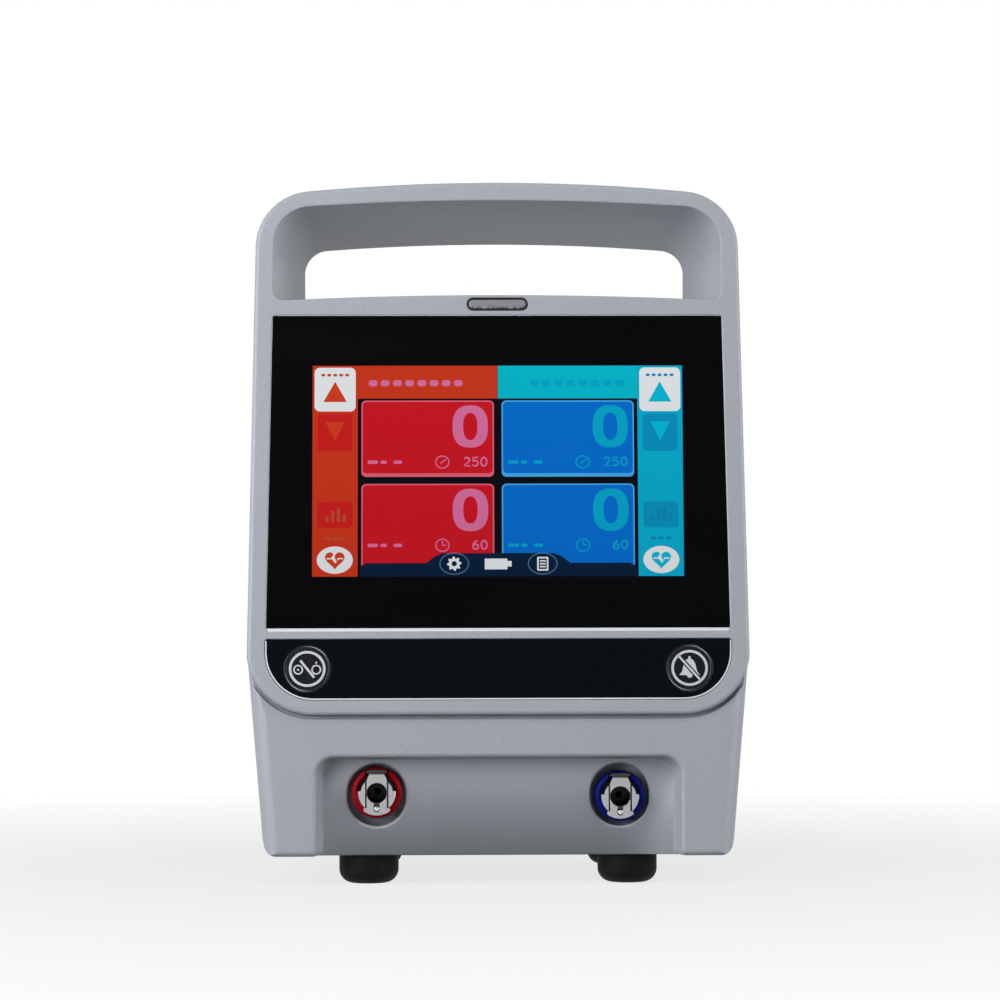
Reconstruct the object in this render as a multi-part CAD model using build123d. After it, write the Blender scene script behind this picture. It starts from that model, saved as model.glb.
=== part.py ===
from build123d import *
import os
from math import cos, sin, radians

# Surgical tourniquet controller with carry handle, touch screen and two air couplers.
# Millimetres. +Z is up, the front faces -Y, +X is to the right of someone who faces the screen.
# The origin is on the table, under the middle of the whole object.

os.makedirs("parts", exist_ok=True)

# Overall sizes of the housing
overall_depth = 192.0
body_bottom = 12.3
bottom_half = 98.0
widest_height = 92.0
widest_half = 104.7
shoulder_height = 289.6
shoulder_half = 102.0
handle_height = 295.6
handle_corner_radius = 24.0
side_draft = 6.0
top_draft = 7.0
draft_depth = 150.0
wall = 3.0

# Front face, which leans back above the lower front
lean = 4.0
bezel_bottom = 71.0
bezel_half = 104.75
bezel_corner_radius = 28.0
bezel_depth = 20.0
bezel_front_wall = 5.0
reveal = 1.5
reveal_depth = 5.0
lower_front = 3.2

# Side view of the case
parting_depth = 104.0
back_depth = 140.0
back_slope_start = 160.0
handle_back_depth = 101.0
slope_top = 240.0
back_edge_radius = 2.5
bottom_corner_radius = 6.0
front_corner_radius = 7.0
pocket_edge_radius = 1.8
well_edge_radius = 1.2

# Handle opening, which narrows towards the back
sill_height = 246.7
sill_crown = 2.3
grip_front_half = 94.2
grip_front_top = 287.2
grip_back_half = 83.5
grip_back_top = 277.5
grip_crown = 3.6
handle_seam = 244.0
handle_foot_inner = 80.0

# Screen, keypad and alarm light, as heights along the leaning face
glass_low, glass_high = 107.0, 238.3
glass_low_half, glass_high_half = 96.4, 94.2
glass_thickness = 1.9
glass_front = 0.3
window_half = 84.0
window_low, window_high = 118.8, 226.8
display_middle = 172.8
pad_low, pad_high = 77.3, 102.4
pad_half = 96.8
pad_corner_radius = 20.0
pad_recess = 1.0
key_x = 79.3
key_height = 90.2
key_radius = 9.8
key_gap = 0.3
key_travel = 0.8
key_stem_radius = 3.0
light_height = 243.2
light_length, light_width = 24.2, 4.0
light_seal_wall = 0.8

# Coupler pocket and couplers
pocket_mouth_half, pocket_floor_half = 76.2, 73.3
pocket_mouth_top, pocket_floor_top = 53.5, 52.3
pocket_floor = 12.2
well_floor = 20.4
well_height, well_width = 26.0, 24.0
well_z = 37.2
coupler_x = 50.7
coupler_z = {"red": 38.3, "blue": 36.6}
coupler_side = {"red": -1, "blue": 1}
lower_wall_back = 23.5
port_radius = 4.1
port_front = 8.2
port_length = 15.0
disc_radius = 7.85
disc_top_radius = 6.6
disc_back = 14.6
tail_radius = 6.0
barb_radius = 2.5
barb_end = 42.0
collar_radius = 10.5
collar_front = 9.9
collar_window_radius = 8.6
collar_window_depth = 13.0
latch_width = 8.2
latch_channel_gap = 0.85
latch_thickness = 1.2
latch_front = 8.5
latch_travel = 1.5
latch_foot_half = 5.4
latch_foot_radius = 9.2
latch_lip_half = 4.2
latch_lip_low, latch_lip_high = 8.4, 9.6
latch_lip_depth = 13.4
latch_notch_low = latch_lip_low - latch_travel - 0.3
spring_seat = 5.15
pin_radius = 1.0
pin_drop = 6.5
tube_radius = 4.0
tube_bend = 14.0
tube_rise_depth = 58.0

# Feet
foot_radius = 12.5
foot_x = 54.4
foot_depths = (26.0, 122.0)
foot_round = 5.8

# Pole clamp on the back
pole_radius = 12.8
pole_depth = 172.0
clamp_z = 112.0
clamp_half_height = 26.0
clamp_base = 8.0
jaw_outer = -30.0
jaw_lip = -3.3
screw_arm_inner, screw_arm_outer = 38.0, 50.0
clamp_screw_radius = 5.0
pad_face = 23.5
knob_inner, knob_outer = 66.0, 90.0
knob_radius = 20.0

# Back panel fittings
inlet_x, inlet_z = 52.0, 46.0
stud_x, stud_z = 82.0, 46.0
stud_radius = 3.0
door_x, door_z = -52.0, 46.0
door_width, door_height = 66.0, 44.0
speaker_x, speaker_z = -66.0, 116.0
vent_x = 66.0
case_screw_places = ((-84.0, 22.0), (84.0, 22.0), (-84.0, 150.0), (84.0, 150.0))

front_y = -overall_depth / 2
lean_sin = sin(radians(lean))
lean_cos = cos(radians(lean))

# Upright plane through the bezel's lower front edge, seen from the front
upright = Plane(origin=(0, front_y, 0), x_dir=(1, 0, 0), z_dir=(0, -1, 0))

# The leaning front face: its second coordinate runs up the face and equals the height there
face = Plane(
    origin=(0, front_y - bezel_bottom * lean_sin, bezel_bottom * (1 - lean_cos)),
    x_dir=(1, 0, 0),
    z_dir=(0, -lean_cos, lean_sin),
)

# Side view: its first coordinate is the depth behind the bezel's lower front edge
side = Plane(origin=(0, front_y, 0), x_dir=(0, 1, 0), z_dir=(1, 0, 0))


def slab(plane, sketch, near, far):
    """Solid of a sketch between two depths behind a plane."""
    return extrude(plane.offset(-far) * sketch, amount=far - near)


def outline(points, radii=None):
    """Closed face through points, with corners rounded by index."""
    sketch = make_face(Polyline(*points, close=True))
    for index, radius in (radii or {}).items():
        place = Vector(*points[index])
        corner = sketch.vertices().sort_by_distance(place)[0]
        sketch = fillet(corner, radius)
    return sketch


def profile(points, half_width, radii=None):
    """Solid of a side view outline, across the object."""
    return extrude(side * outline(points, radii), amount=half_width, both=True)


def rod(x, z, radius, near, far):
    """Round bar along the depth."""
    return slab(upright, Pos(x, z) * Circle(radius), near, far)


def box(x_range, depth_range, z_range):
    """Box between two corners, with the depth counted from the front."""
    size = [high - low for low, high in (x_range, depth_range, z_range)]
    middle = [(high + low) / 2 for low, high in (x_range, depth_range, z_range)]
    return Pos(middle[0], front_y + middle[1], middle[2]) * Box(*size)


def group(solids):
    """Separate solids that share one node."""
    return Compound(children=[Part() + solid for solid in solids])


def save(name, part):
    export_step(part, "parts/" + name + ".step")


# Housing


def flank_half(z):
    """Half the housing's width at its front, below the widest height."""
    slope = (widest_half - bottom_half) / (widest_height - body_bottom)
    return bottom_half + (z - body_bottom) * slope


def housing_section(depth, inset):
    """Front view of the housing at a depth, drawn in by an inset."""
    share = depth / draft_depth
    shrink = side_draft * share + inset
    drop = top_draft * share + inset
    foot_line = 2.0
    shoulder_z = shoulder_height - drop
    right = [
        (flank_half(foot_line) - shrink, foot_line),
        (widest_half - shrink, widest_height),
        (shoulder_half - shrink, shoulder_z),
    ]
    left = [(-x, z) for x, z in right]
    sides = [Line(right[0], right[1]), Line(right[1], right[2])]
    arch = ThreePointArc(right[2], (0, handle_height - drop), left[2])
    back = [Line(left[2], left[1]), Line(left[1], left[0]), Line(left[0], right[0])]
    sketch = make_face(Curve() + [*sides, arch, *back])
    corners = sketch.vertices().filter_by(lambda v: v.Y > shoulder_z - 1)
    sketch = fillet(corners, handle_corner_radius - inset)
    waists = sketch.vertices().filter_by(lambda v: abs(v.Y - widest_height) < 1)
    return fillet(waists, 140)


def housing_solid(inset):
    near, far = -1.0, draft_depth
    sections = [upright.offset(-depth) * housing_section(depth, inset) for depth in (near, far)]
    return loft(sections, ruled=True)


def case_profile():
    """Side view of the case without the bezel."""
    top = handle_height + 4
    lean_at_top = (top - bezel_bottom) * lean_sin / lean_cos
    points = [
        (lower_front, body_bottom),
        (lower_front, bezel_bottom),
        (lower_front + lean_at_top, top),
        (handle_back_depth - 3, top),
        (handle_back_depth, slope_top),
        (back_depth, back_slope_start),
        (back_depth, body_bottom),
    ]
    return profile(points, 120, {0: 2.5, 4: 18, 5: 30, 6: 9})


def grip_section(depth):
    """Front view of the handle opening at a depth."""
    front, back = 13.0, 112.0
    share = (depth - front) / (back - front)
    half = grip_front_half + (grip_back_half - grip_front_half) * share
    top = grip_front_top + (grip_back_top - grip_front_top) * share
    low = sill_height - sill_crown
    sill = ThreePointArc((-half, low), (0, sill_height), (half, low))
    arch = ThreePointArc((half, top - grip_crown), (0, top), (-half, top - grip_crown))
    right = Line((half, low), (half, top - grip_crown))
    left = Line((-half, top - grip_crown), (-half, low))
    sketch = make_face(Curve() + [sill, right, arch, left])
    upper = sketch.vertices().filter_by(lambda v: v.Y > top - grip_crown - 1)
    sketch = fillet(upper, 16 - 6 * share)
    lower = sketch.vertices().filter_by(lambda v: v.Y < low + 1)
    return fillet(lower, 4.5)


def grip_opening():
    return loft([upright.offset(-depth) * grip_section(depth) for depth in (-6, 112)], ruled=True)


def bezel_outline(grow):
    """Front view of the bezel below the handle, open to the housing's own sides above."""
    half = bezel_half + grow
    low = bezel_bottom - grow
    points = [(-half, low), (half, low), (half, 330), (-half, 330)]
    radius = bezel_corner_radius + grow
    return outline(points, {0: radius, 1: radius})


def front_face_edges(part, depth=0.0):
    """Edges that lie in the leaning plane at a depth."""
    plane = face.offset(-depth)
    return part.edges().filter_by(
        lambda e: all(abs(plane.to_local_coords(e @ t).Z) < 0.01 for t in (0, 0.5, 1))
    )


def glass_outline(gap):
    points = [
        (-glass_low_half - gap, glass_low - gap),
        (glass_low_half + gap, glass_low - gap),
        (glass_high_half + gap, glass_high + gap),
        (-glass_high_half - gap, glass_high + gap),
    ]
    low_radius = max(1.2 + gap, 0.5)
    high_radius = max(1.5 + gap, 0.5)
    return outline(points, {0: low_radius, 1: low_radius, 2: high_radius, 3: high_radius})


def pad_outline(gap):
    half = pad_half + gap
    points = [(-half, pad_low - gap), (half, pad_low - gap), (half, pad_high + gap), (-half, pad_high + gap)]
    radius = pad_corner_radius + gap
    return outline(points, {0: radius, 1: radius, 2: 1.2 + gap, 3: 1.2 + gap})


def window_outline(gap):
    width = 2 * (window_half - gap)
    height = window_high - window_low - 2 * gap
    return Pos(0, (window_low + window_high) / 2) * Rectangle(width, height)


def face_rod(x, height, radius, near, far):
    return slab(face, Pos(x, height) * Circle(radius), near, far)


bracket_posts = [(x, height) for x in (-70.0, 70.0) for height in (113.0, 232.5)]
bezel_posts = [(x, height) for x in (-94.0, 94.0) for height in (112.0, 176.0, 232.0)]


def front_bezel():
    blank = housing_solid(0) & slab(face, bezel_outline(0), 0, bezel_depth)
    blank = fillet(front_face_edges(blank), 1.8)
    part = blank - grip_opening()
    rim = front_face_edges(part).filter_by(lambda e: e.center().Z > sill_height - 4)
    rim = rim.filter_by(lambda e: abs((e @ 0.5).X) < grip_front_half + 1.5)
    part = fillet(rim, 0.6)
    cavity = [
        (-100.5, bezel_bottom + 4),
        (100.5, bezel_bottom + 4),
        (101.2, 104),
        (98.6, 242),
        (-98.6, 242),
        (-101.2, 104),
    ]
    part -= slab(face, outline(cavity, {0: 24, 1: 24}), bezel_front_wall, bezel_depth + 5)
    part -= slab(face, glass_outline(0.35), -1, glass_front + glass_thickness + 0.8)
    part -= slab(face, window_outline(0), 1, bezel_front_wall + 1)
    part -= slab(face, pad_outline(0.25), -1, pad_recess)
    for x in (-key_x, key_x):
        part -= face_rod(x, key_height, key_radius + key_gap, -1, 2.6)
        part -= face_rod(x, key_height, key_stem_radius + 0.4, 1, bezel_front_wall + 1)
    slot = SlotOverall(light_length + 2 * light_seal_wall, light_width + 2 * light_seal_wall)
    part -= slab(face, Pos(0, light_height) * slot, -1, bezel_front_wall)
    part -= slab(face, Pos(0, 239.5) * Rectangle(24.6, 6), 2, bezel_front_wall + 1)
    for x, height in bracket_posts:
        part += face_rod(x, height, 3.4, bezel_front_wall - 0.5, 8.6) - face_rod(x, height, 1.55, 5, 9)
    for x, height in bezel_posts:
        post = face_rod(x, height, 4.2, bezel_front_wall - 0.5, bezel_depth)
        part += post - face_rod(x, height, 1.55, 8, bezel_depth + 1)
    return part


def pocket():
    """Recess in the lower front, open at the bottom."""
    sections = []
    for depth, half, top in (
        (lower_front - 1, pocket_mouth_half + 0.3, pocket_mouth_top + 0.1),
        (pocket_floor, pocket_floor_half, pocket_floor_top),
    ):
        points = [(-half, 0), (half, 0), (half, top), (-half, top)]
        sections.append(upright.offset(-depth) * outline(points, {2: 7.5, 3: 7.5}))
    return loft(sections, ruled=True)


def edges_at_depth(part, depth):
    return part.edges().filter_by(lambda e: all(abs((e @ t).Y - front_y - depth) < 0.05 for t in (0, 0.5, 1)))


def pocket_mouth_edges(part):
    edges = edges_at_depth(part, lower_front)
    edges = edges.filter_by(lambda e: abs((e @ 0.5).X) < pocket_mouth_half + 2)
    return edges.filter_by(lambda e: body_bottom + 1 < (e @ 0.5).Z < pocket_mouth_top + 2)


def well_mouth_edges(part):
    edges = edges_at_depth(part, pocket_floor)
    return edges.filter_by(lambda e: abs(abs((e @ 0.5).X) - coupler_x) < well_width / 2 + 1)


def case_cavity():
    points = [
        (lower_wall_back, body_bottom + wall),
        (lower_wall_back, bezel_bottom + 4),
        (12, bezel_bottom + 4),
        (24, handle_seam - wall),
        (handle_back_depth - 4, handle_seam - wall),
        (handle_back_depth - 2, slope_top - 2),
        (back_depth - wall, back_slope_start - 1),
        (back_depth - wall, body_bottom + wall),
    ]
    return housing_solid(wall) & profile(points, 120, {6: 27, 7: 6})


def corner_waste(right, edge, radius):
    """Front or plan view of what rounding takes off a corner whose faces are at right and at edge."""
    overlap = 0.03
    middle = (right - radius + overlap, edge + radius - overlap)
    block = Pos(middle[0] + radius, middle[1] - radius) * Rectangle(2 * radius, 2 * radius)
    return block - Pos(*middle) * Circle(radius)


def case_corner_waste():
    """What rounding takes off the upright front corners and the long bottom edges of the case."""
    draft = side_draft / draft_depth
    radius = front_corner_radius
    upright_sections = []
    for z in (body_bottom - 4, widest_height):
        half = flank_half(z) - draft * (lower_front + radius)
        upright_sections.append(Plane.XY.offset(z) * corner_waste(half, front_y + lower_front, radius))
    long_sections = []
    for depth in (-2, draft_depth):
        half = bottom_half - draft * depth
        long_sections.append(upright.offset(-depth) * corner_waste(half, body_bottom, bottom_corner_radius))
    tools = [loft(upright_sections, ruled=True), loft(long_sections, ruled=True)]
    return tools + [mirror(tool, Plane.YZ) for tool in tools]


def case_shell():
    """Solid outer shape of main case and rear cover together, its corners and back edges rounded."""
    shell = housing_solid(0) & case_profile()
    back_edges = shell.edges().filter_by(lambda e: e.center().Y > front_y + 85)
    back_edges = back_edges.filter_by(GeomType.LINE, reverse=True)
    back_edges = back_edges.filter_by(lambda e: e.center().Z > body_bottom + 1)
    shell = fillet(back_edges, back_edge_radius)
    for waste in case_corner_waste():
        shell -= waste
    return shell


def chassis_lugs():
    lugs = [box((x, x + 22), (47.5, 54), (z - 6, z + 6)) for x in (76, -98) for z in (84, 222)]
    return Part() + lugs


def behind(depth):
    return box((-130, 130), (depth, 250), (-10, 330))


def screw_bosses(radius, near, far):
    return Part() + [rod(x, z, radius, near, far) for x, z in case_screw_places]


def boss_webs():
    """Ribs that tie the screw bosses to the side walls."""
    ribs = []
    for x, z in case_screw_places:
        outer = 101 if x > 0 else -101
        ribs.append(box(sorted((x, outer)), (86, parting_depth), (z - 1.2, z + 1.2)))
    return Part() + ribs


def handle_space():
    """Where the shell belongs to the carry handle: above the seam, but not the sill between its feet."""
    upper = box((-130, 130), (-20, 200), (handle_seam, 330))
    between_feet = (-handle_foot_inner, handle_foot_inner)
    return upper - box(between_feet, (-21, 201), (handle_seam - 1, handle_seam + 8))


def handle_screw_places():
    return [(sign * x, depth) for sign in (-1, 1) for x, depth in ((93.0, 50.0), (91.5, 88.0))]


def carry_handle(shell):
    """Rear half of the carry handle, which stands on the case with a foot on each side."""
    part = shell & handle_space()
    part -= slab(face, bezel_outline(reveal), -20, bezel_depth)
    part -= grip_opening()
    for x, depth in handle_screw_places():
        part -= Pos(x, front_y + depth, handle_seam + 5) * Cylinder(1.55, 12)
    return part


def main_case(shell):
    part = shell - behind(parting_depth) - handle_space()
    part -= slab(face, bezel_outline(reveal), -20, reveal_depth)
    part -= slab(face, bezel_outline(0.1), reveal_depth - 1, bezel_depth)
    for x, depth in handle_screw_places():
        part -= Pos(x, front_y + depth, handle_seam) * Cylinder(1.7, 12)
    part -= case_cavity()
    additions = chassis_lugs() + screw_bosses(4.2, 86, parting_depth) + boss_webs()
    part += additions & housing_solid(1.0)
    part -= grip_opening()
    part -= pocket()
    part = fillet(pocket_mouth_edges(part), pocket_edge_radius)
    for side_sign in coupler_side.values():
        x = side_sign * coupler_x
        well = Pos(x, well_z) * Rot(0, 0, 90) * SlotOverall(well_height, well_width)
        part -= slab(upright, well, pocket_floor - 1, well_floor)
    part = fillet(well_mouth_edges(part), well_edge_radius)
    for colour, z in coupler_z.items():
        x = coupler_side[colour] * coupler_x
        part -= rod(x, z, tail_radius + 0.1, well_floor - 1, lower_wall_back + 1)
    part -= Part() + [rod(x, z, 1.55, 88, parting_depth + 1) for x, z in case_screw_places]
    for x in (-foot_x, foot_x):
        hole = Pos(x, front_y + foot_depths[0], body_bottom + 1.5) * Cylinder(2.1, 8)
        part -= hole
    for x in (-82, 82):
        for z in (84, 222):
            part -= rod(x, z, 1.55, 46, 60)
    flange_edge = 5.0
    for x, height in bezel_posts:
        lug = face_rod(x, height, flange_edge, bezel_depth, bezel_depth + 3.5)
        bridge = slab(face, Pos(x * 1.04, height) * Rectangle(8, 8), bezel_depth, bezel_depth + 3.5)
        lug = (lug + bridge) & housing_solid(1.0)
        part += lug - face_rod(x, height, 1.7, bezel_depth - 1, bezel_depth + 5)
    return part


def grille_holes(x, z, radius, pitch, hole):
    """Round holes in a triangular pattern inside a circle."""
    holes = []
    rows = int(radius / (pitch * 0.866)) + 1
    for row in range(-rows, rows + 1):
        for column in range(-rows - 1, rows + 2):
            px = (column + 0.5 * (row % 2)) * pitch
            pz = row * pitch * 0.866
            if px * px + pz * pz <= (radius - hole) ** 2:
                holes.append(Pos(x + px, z + pz) * Circle(hole))
    return Sketch() + holes


def door_screw_places():
    return (door_x - door_width / 2 + 4, door_x + door_width / 2 - 4)


def rear_cover(shell):
    part = shell & behind(parting_depth)
    part -= case_cavity()
    part += screw_bosses(4.6, parting_depth, back_depth - 1) & housing_solid(0.5)
    part -= Part() + [rod(x, z, 1.7, parting_depth - 1, back_depth + 1) for x, z in case_screw_places]
    part -= Part() + [rod(x, z, 3.4, back_depth - 4, back_depth + 1) for x, z in case_screw_places]
    part -= slab(upright, grille_holes(speaker_x, speaker_z, 15, 4.2, 1.1), back_depth - 5, back_depth + 1)
    slots = [Pos(vent_x, z) * SlotOverall(34, 2.6) for z in range(98, 136, 6)]
    part -= slab(upright, Sketch() + slots, back_depth - 5, back_depth + 1)
    inlet_hole = Pos(inlet_x, inlet_z) * Rectangle(28.2, 33.2)
    part -= slab(upright, inlet_hole, back_depth - 5, back_depth + 1)
    part -= rod(stud_x, stud_z, stud_radius + 0.1, back_depth - 5, back_depth + 1)
    door_hole = Pos(door_x, door_z) * RectangleRounded(door_width - 8, door_height - 8, 3)
    part -= slab(upright, door_hole, back_depth - 5, back_depth + 1)
    door_recess = Pos(door_x, door_z) * RectangleRounded(door_width + 0.6, door_height + 0.6, 4.3)
    part -= slab(upright, door_recess, back_depth - 1.6, back_depth + 1)
    for x in door_screw_places():
        part -= rod(x, door_z, 1.55, back_depth - 5, back_depth + 1)
    for x, z in clamp_screw_places():
        part -= rod(x, z, 2.6, back_depth - 5, back_depth + 1)
    for x in (-foot_x, foot_x):
        part -= Pos(x, front_y + foot_depths[1], body_bottom + 1.5) * Cylinder(2.1, 8)
    return part


# Front pieces


def screen_glass():
    part = slab(face, glass_outline(0), glass_front, glass_front + glass_thickness)
    return chamfer(front_face_edges(part, glass_front), 0.25)


def glass_gasket():
    near = glass_front + glass_thickness
    outer = glass_outline(-2.0)
    return slab(face, outer, near, near + 0.8) - slab(face, window_outline(-1.5), near - 1, near + 2)


def display_panel():
    body = Pos(0, display_middle) * Rectangle(165.5, 104.5)
    active = Pos(0, display_middle) * Rectangle(154.8, 88.6)
    part = slab(face, body, 2.6, 8.6)
    return part - slab(face, active, 2, 2.9)


def display_bracket():
    plate = outline([(-94, 109), (94, 109), (94, 237), (-94, 237)], {0: 3, 1: 3, 2: 3, 3: 3})
    part = slab(face, plate, 8.6, 9.8)
    part -= slab(face, Pos(0, display_middle) * Rectangle(120, 60), 8, 11)
    for x, height in bracket_posts:
        part -= face_rod(x, height, 1.7, 8, 11)
    for x, height in bezel_posts:
        part -= face_rod(x, height, 4.8, 8, 11)
    return part


def pan_screw(length, radius=1.5, head=2.8, head_height=1.8):
    """Pan head screw that points up, the underside of its head at the origin."""
    part = Pos(0, 0, -head_height / 2) * Cylinder(head, head_height)
    part = fillet(part.edges().group_by(Axis.Z)[0], 0.5)
    part += Pos(0, 0, length / 2 - 0.05) * Cylinder(radius, length + 0.1)
    cross = Rectangle(head * 1.1, 0.7) + Rectangle(0.7, head * 1.1)
    return part - Pos(0, 0, -head_height) * extrude(cross, amount=1)


def short_screws():
    """Identical screws of the display bracket and the battery door."""
    screws = []
    for x, height in bracket_posts:
        screws.append(face.offset(-9.8) * (Pos(x, height) * pan_screw(4.5)))
    for x in door_screw_places():
        screws.append(upright.offset(-back_depth - 0.4) * (Pos(x, door_z) * pan_screw(4.5)))
    return group(screws)


def long_screws():
    """Identical screws of the bezel and the carry handle."""
    screws = []
    for x, height in bezel_posts:
        screws.append(face.offset(-bezel_depth - 3.5) * (Pos(x, height) * pan_screw(12)))
    for x, depth in handle_screw_places():
        screws.append(Pos(x, front_y + depth, handle_seam - wall) * pan_screw(12))
    return group(screws)


def alarm_light_lens():
    pill = Pos(0, light_height) * SlotOverall(light_length, light_width)
    part = slab(face, pill, 0.25, bezel_front_wall - 0.3)
    part = fillet(front_face_edges(part, 0.25), 0.5)
    return part + slab(face, Pos(0, 239.9) * Rectangle(21, 3.4), 3.0, 7.5)


def alarm_light_seal():
    outer = SlotOverall(light_length + 2 * light_seal_wall, light_width + 2 * light_seal_wall)
    ring = Pos(0, light_height) * (outer - SlotOverall(light_length, light_width))
    part = slab(face, ring, 0.4, bezel_front_wall - 0.3)
    return part - slab(face, Pos(0, 239.9) * Rectangle(21.2, 3.6), 2.9, 7.6)


def alarm_light_board():
    board = Pos(0, 234.5) * Rectangle(34, 12)
    part = slab(face, board, 10.5, 12.1)
    for x in (-13.5, 13.5):
        part -= face_rod(x, 231.5, 1.2, 10, 13)
    for x in (-7.5, 0, 7.5):
        part += slab(face, Pos(x, 238.6) * Rectangle(3.2, 2.6), 8.6, 10.5)
    return part


def keypad_overlay():
    part = slab(face, pad_outline(0), 0.2, pad_recess)
    for x in (-key_x, key_x):
        part -= face_rod(x, key_height, key_radius + key_gap, -1, 3)
    return part


def key_button(x):
    """Round key: cap with a raised rim, stem and snap collar."""
    cap = face_rod(x, key_height, key_radius, 0.35, 1.5)
    cap = fillet(front_face_edges(cap, 0.35), 0.3)
    rim = face_rod(x, key_height, key_radius, 0.1, 0.6) - face_rod(x, key_height, key_radius - 1.1, 0, 1)
    rim = fillet(front_face_edges(rim, 0.1), 0.2)
    stem = face_rod(x, key_height, key_stem_radius, 1.4, 7.0)
    collar = face_rod(x, key_height, 4.3, bezel_front_wall + 0.2, bezel_front_wall + 1.2)
    return cap + rim + stem + collar


def keypad_board():
    """Board with a snap-action switch behind each key."""
    board = Pos(0, 89.0) * Rectangle(176, 15)
    part = slab(face, board, 11.0, 12.6)
    for x in (-key_x, key_x):
        part += slab(face, Pos(x, key_height) * Rectangle(6.2, 6.2), 7.3 + key_travel, 11.0)
    for x in (-84, 84):
        part -= face_rod(x, 84.0, 1.2, 10, 14)
    return part


# Couplers


def coupler_place(colour):
    return coupler_side[colour] * coupler_x, coupler_z[colour]


def latch_notch(colour):
    """Room for the latch's thumb lip above the port."""
    x, z = coupler_place(colour)
    half = latch_lip_half + 0.6
    return box((x - half, x + half), (0, disc_back), (z + latch_notch_low, z + 14))


def coupler_body(colour):
    """Panel mount coupler: front disc with the latch's channel, threaded tail and hose barb."""
    x, z = coupler_place(colour)
    disc = rod(x, z, disc_radius, port_front, disc_back)
    disc = chamfer(disc.edges().group_by(Axis.Y)[0], 0.4)
    above = box((x - 12, x + 12), (0, collar_window_depth), (z + 0.8, z + 12))
    disc -= above - rod(x, z, disc_top_radius, 0, collar_window_depth)
    part = disc + rod(x, z, tail_radius, disc_back, 29)
    part += rod(x, z, barb_radius, 29, barb_end)
    part -= rod(x, z, port_radius, 0, port_front + port_length)
    part -= rod(x, z, 1.4, 20, barb_end + 1)
    channel_half = latch_width / 2 + latch_channel_gap
    part -= box((x - channel_half, x + channel_half), (0, collar_front), (z - 12, z + 12))
    part -= latch_notch(colour)
    part -= rod(x, z - pin_drop, pin_radius + 0.1, 9, 13.95)
    part -= Pos(x, front_y + 11.9, z + spring_seat + 2) * Cylinder(1.15, 4.1)
    return part


def coupler_ring(colour):
    """Coloured collar round the disc, open above it and notched for the thumb lip."""
    x, z = coupler_place(colour)
    part = rod(x, z, collar_radius, collar_front, well_floor)
    part = fillet(part.edges().group_by(Axis.Y)[0], 1.5)
    part -= rod(x, z, disc_radius + 0.1, 0, disc_back)
    window = rod(x, z, collar_window_radius, 0, collar_window_depth)
    part -= window & box((x - 12, x + 12), (0, 30), (z + 0.8, z + 12))
    part -= latch_notch(colour)
    return part - rod(x, z, tail_radius + 0.1, 13, well_floor + 1)


def coupler_nuts():
    nuts = []
    for colour in coupler_z:
        x, z = coupler_place(colour)
        hexagon = Pos(x, z) * RegularPolygon(8.5, 6, major_radius=False)
        nut = slab(upright, hexagon, lower_wall_back, lower_wall_back + 4.5)
        nuts.append(nut - rod(x, z, tail_radius + 0.05, 20, 40))
    return group(nuts)


def latch_plate(colour):
    """Sliding plate with a keyhole for port and pin, its top bent back into a thumb lip."""
    x, z = coupler_place(colour)
    half = latch_width / 2
    foot_top = -6.2
    points = [
        (-latch_foot_half, -latch_foot_radius),
        (latch_foot_half, -latch_foot_radius),
        (latch_foot_half, foot_top),
        (half, foot_top),
        (half, 5.6),
        (half - 0.9, 7.4),
        (half - 0.9, latch_lip_high),
        (0.9 - half, latch_lip_high),
        (0.9 - half, 7.4),
        (-half, 5.6),
        (-half, foot_top),
        (-latch_foot_half, foot_top),
    ]
    plate = outline(points, {2: 0.5, 11: 0.5})
    plate &= Circle(latch_foot_radius) + Pos(0, 10) * Rectangle(20, 20)
    plate -= Circle(port_radius + 0.2)
    slot_bottom = pin_drop + pin_radius + 0.4
    slot_width = 2 * pin_radius + 0.5
    plate -= Pos(0, -slot_bottom / 2) * Rot(0, 0, 90) * SlotOverall(slot_bottom, slot_width)
    part = slab(upright, Pos(x, z) * plate, latch_front, latch_front + latch_thickness)
    lip = box(
        (x - latch_lip_half, x + latch_lip_half),
        (latch_front, latch_lip_depth),
        (z + latch_lip_low, z + latch_lip_high),
    )
    lip = fillet(lip.edges().filter_by(Axis.X).group_by(Axis.Z)[-1].sort_by(Axis.Y)[0], 1.0)
    return part + lip


def latch_spring(colour):
    x, z = coupler_place(colour)
    length = latch_lip_low - 0.05 - spring_seat
    middle = z + spring_seat + length / 2
    return Pos(x, front_y + 11.9, middle) * (Cylinder(0.95, length) - Cylinder(0.5, length))


def lock_pin(colour):
    x, z = coupler_place(colour)
    part = rod(x, z - pin_drop, pin_radius, 7.9, 12.6)
    return fillet(part.edges().group_by(Axis.Y)[0], 0.5)


def air_tube(colour):
    """Hose from the coupler's barb back and up to the manifold's underside."""
    x, z = coupler_place(colour)
    start = (x, front_y + 29.5, z)
    corner = (x, front_y + tube_rise_depth, z)
    end = (x, front_y + tube_rise_depth, manifold_bottom)
    path = FilletPolyline(start, corner, end, radius=tube_bend)
    section = Circle(tube_radius) - Circle(barb_radius)
    return sweep(Plane(origin=start, x_dir=(1, 0, 0), z_dir=(0, 1, 0)) * section, path=path)


# Inside


manifold_bottom = 112.0
manifold_top = 132.0


def chassis_plate():
    plate = outline([(-86, 76), (86, 76), (86, 230), (-86, 230)], {0: 5, 1: 5, 2: 5, 3: 5})
    part = slab(upright, plate, 46, 47.5)
    part += box((-80, 80), (47.5, 53), (76, 77.5))
    for x in (-82, 82):
        for z in (84, 222):
            part -= rod(x, z, 1.7, 45, 50)
    window = Pos(0, 100) * SlotOverall(60, 16)
    return part - slab(upright, window, 45, 50)


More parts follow.
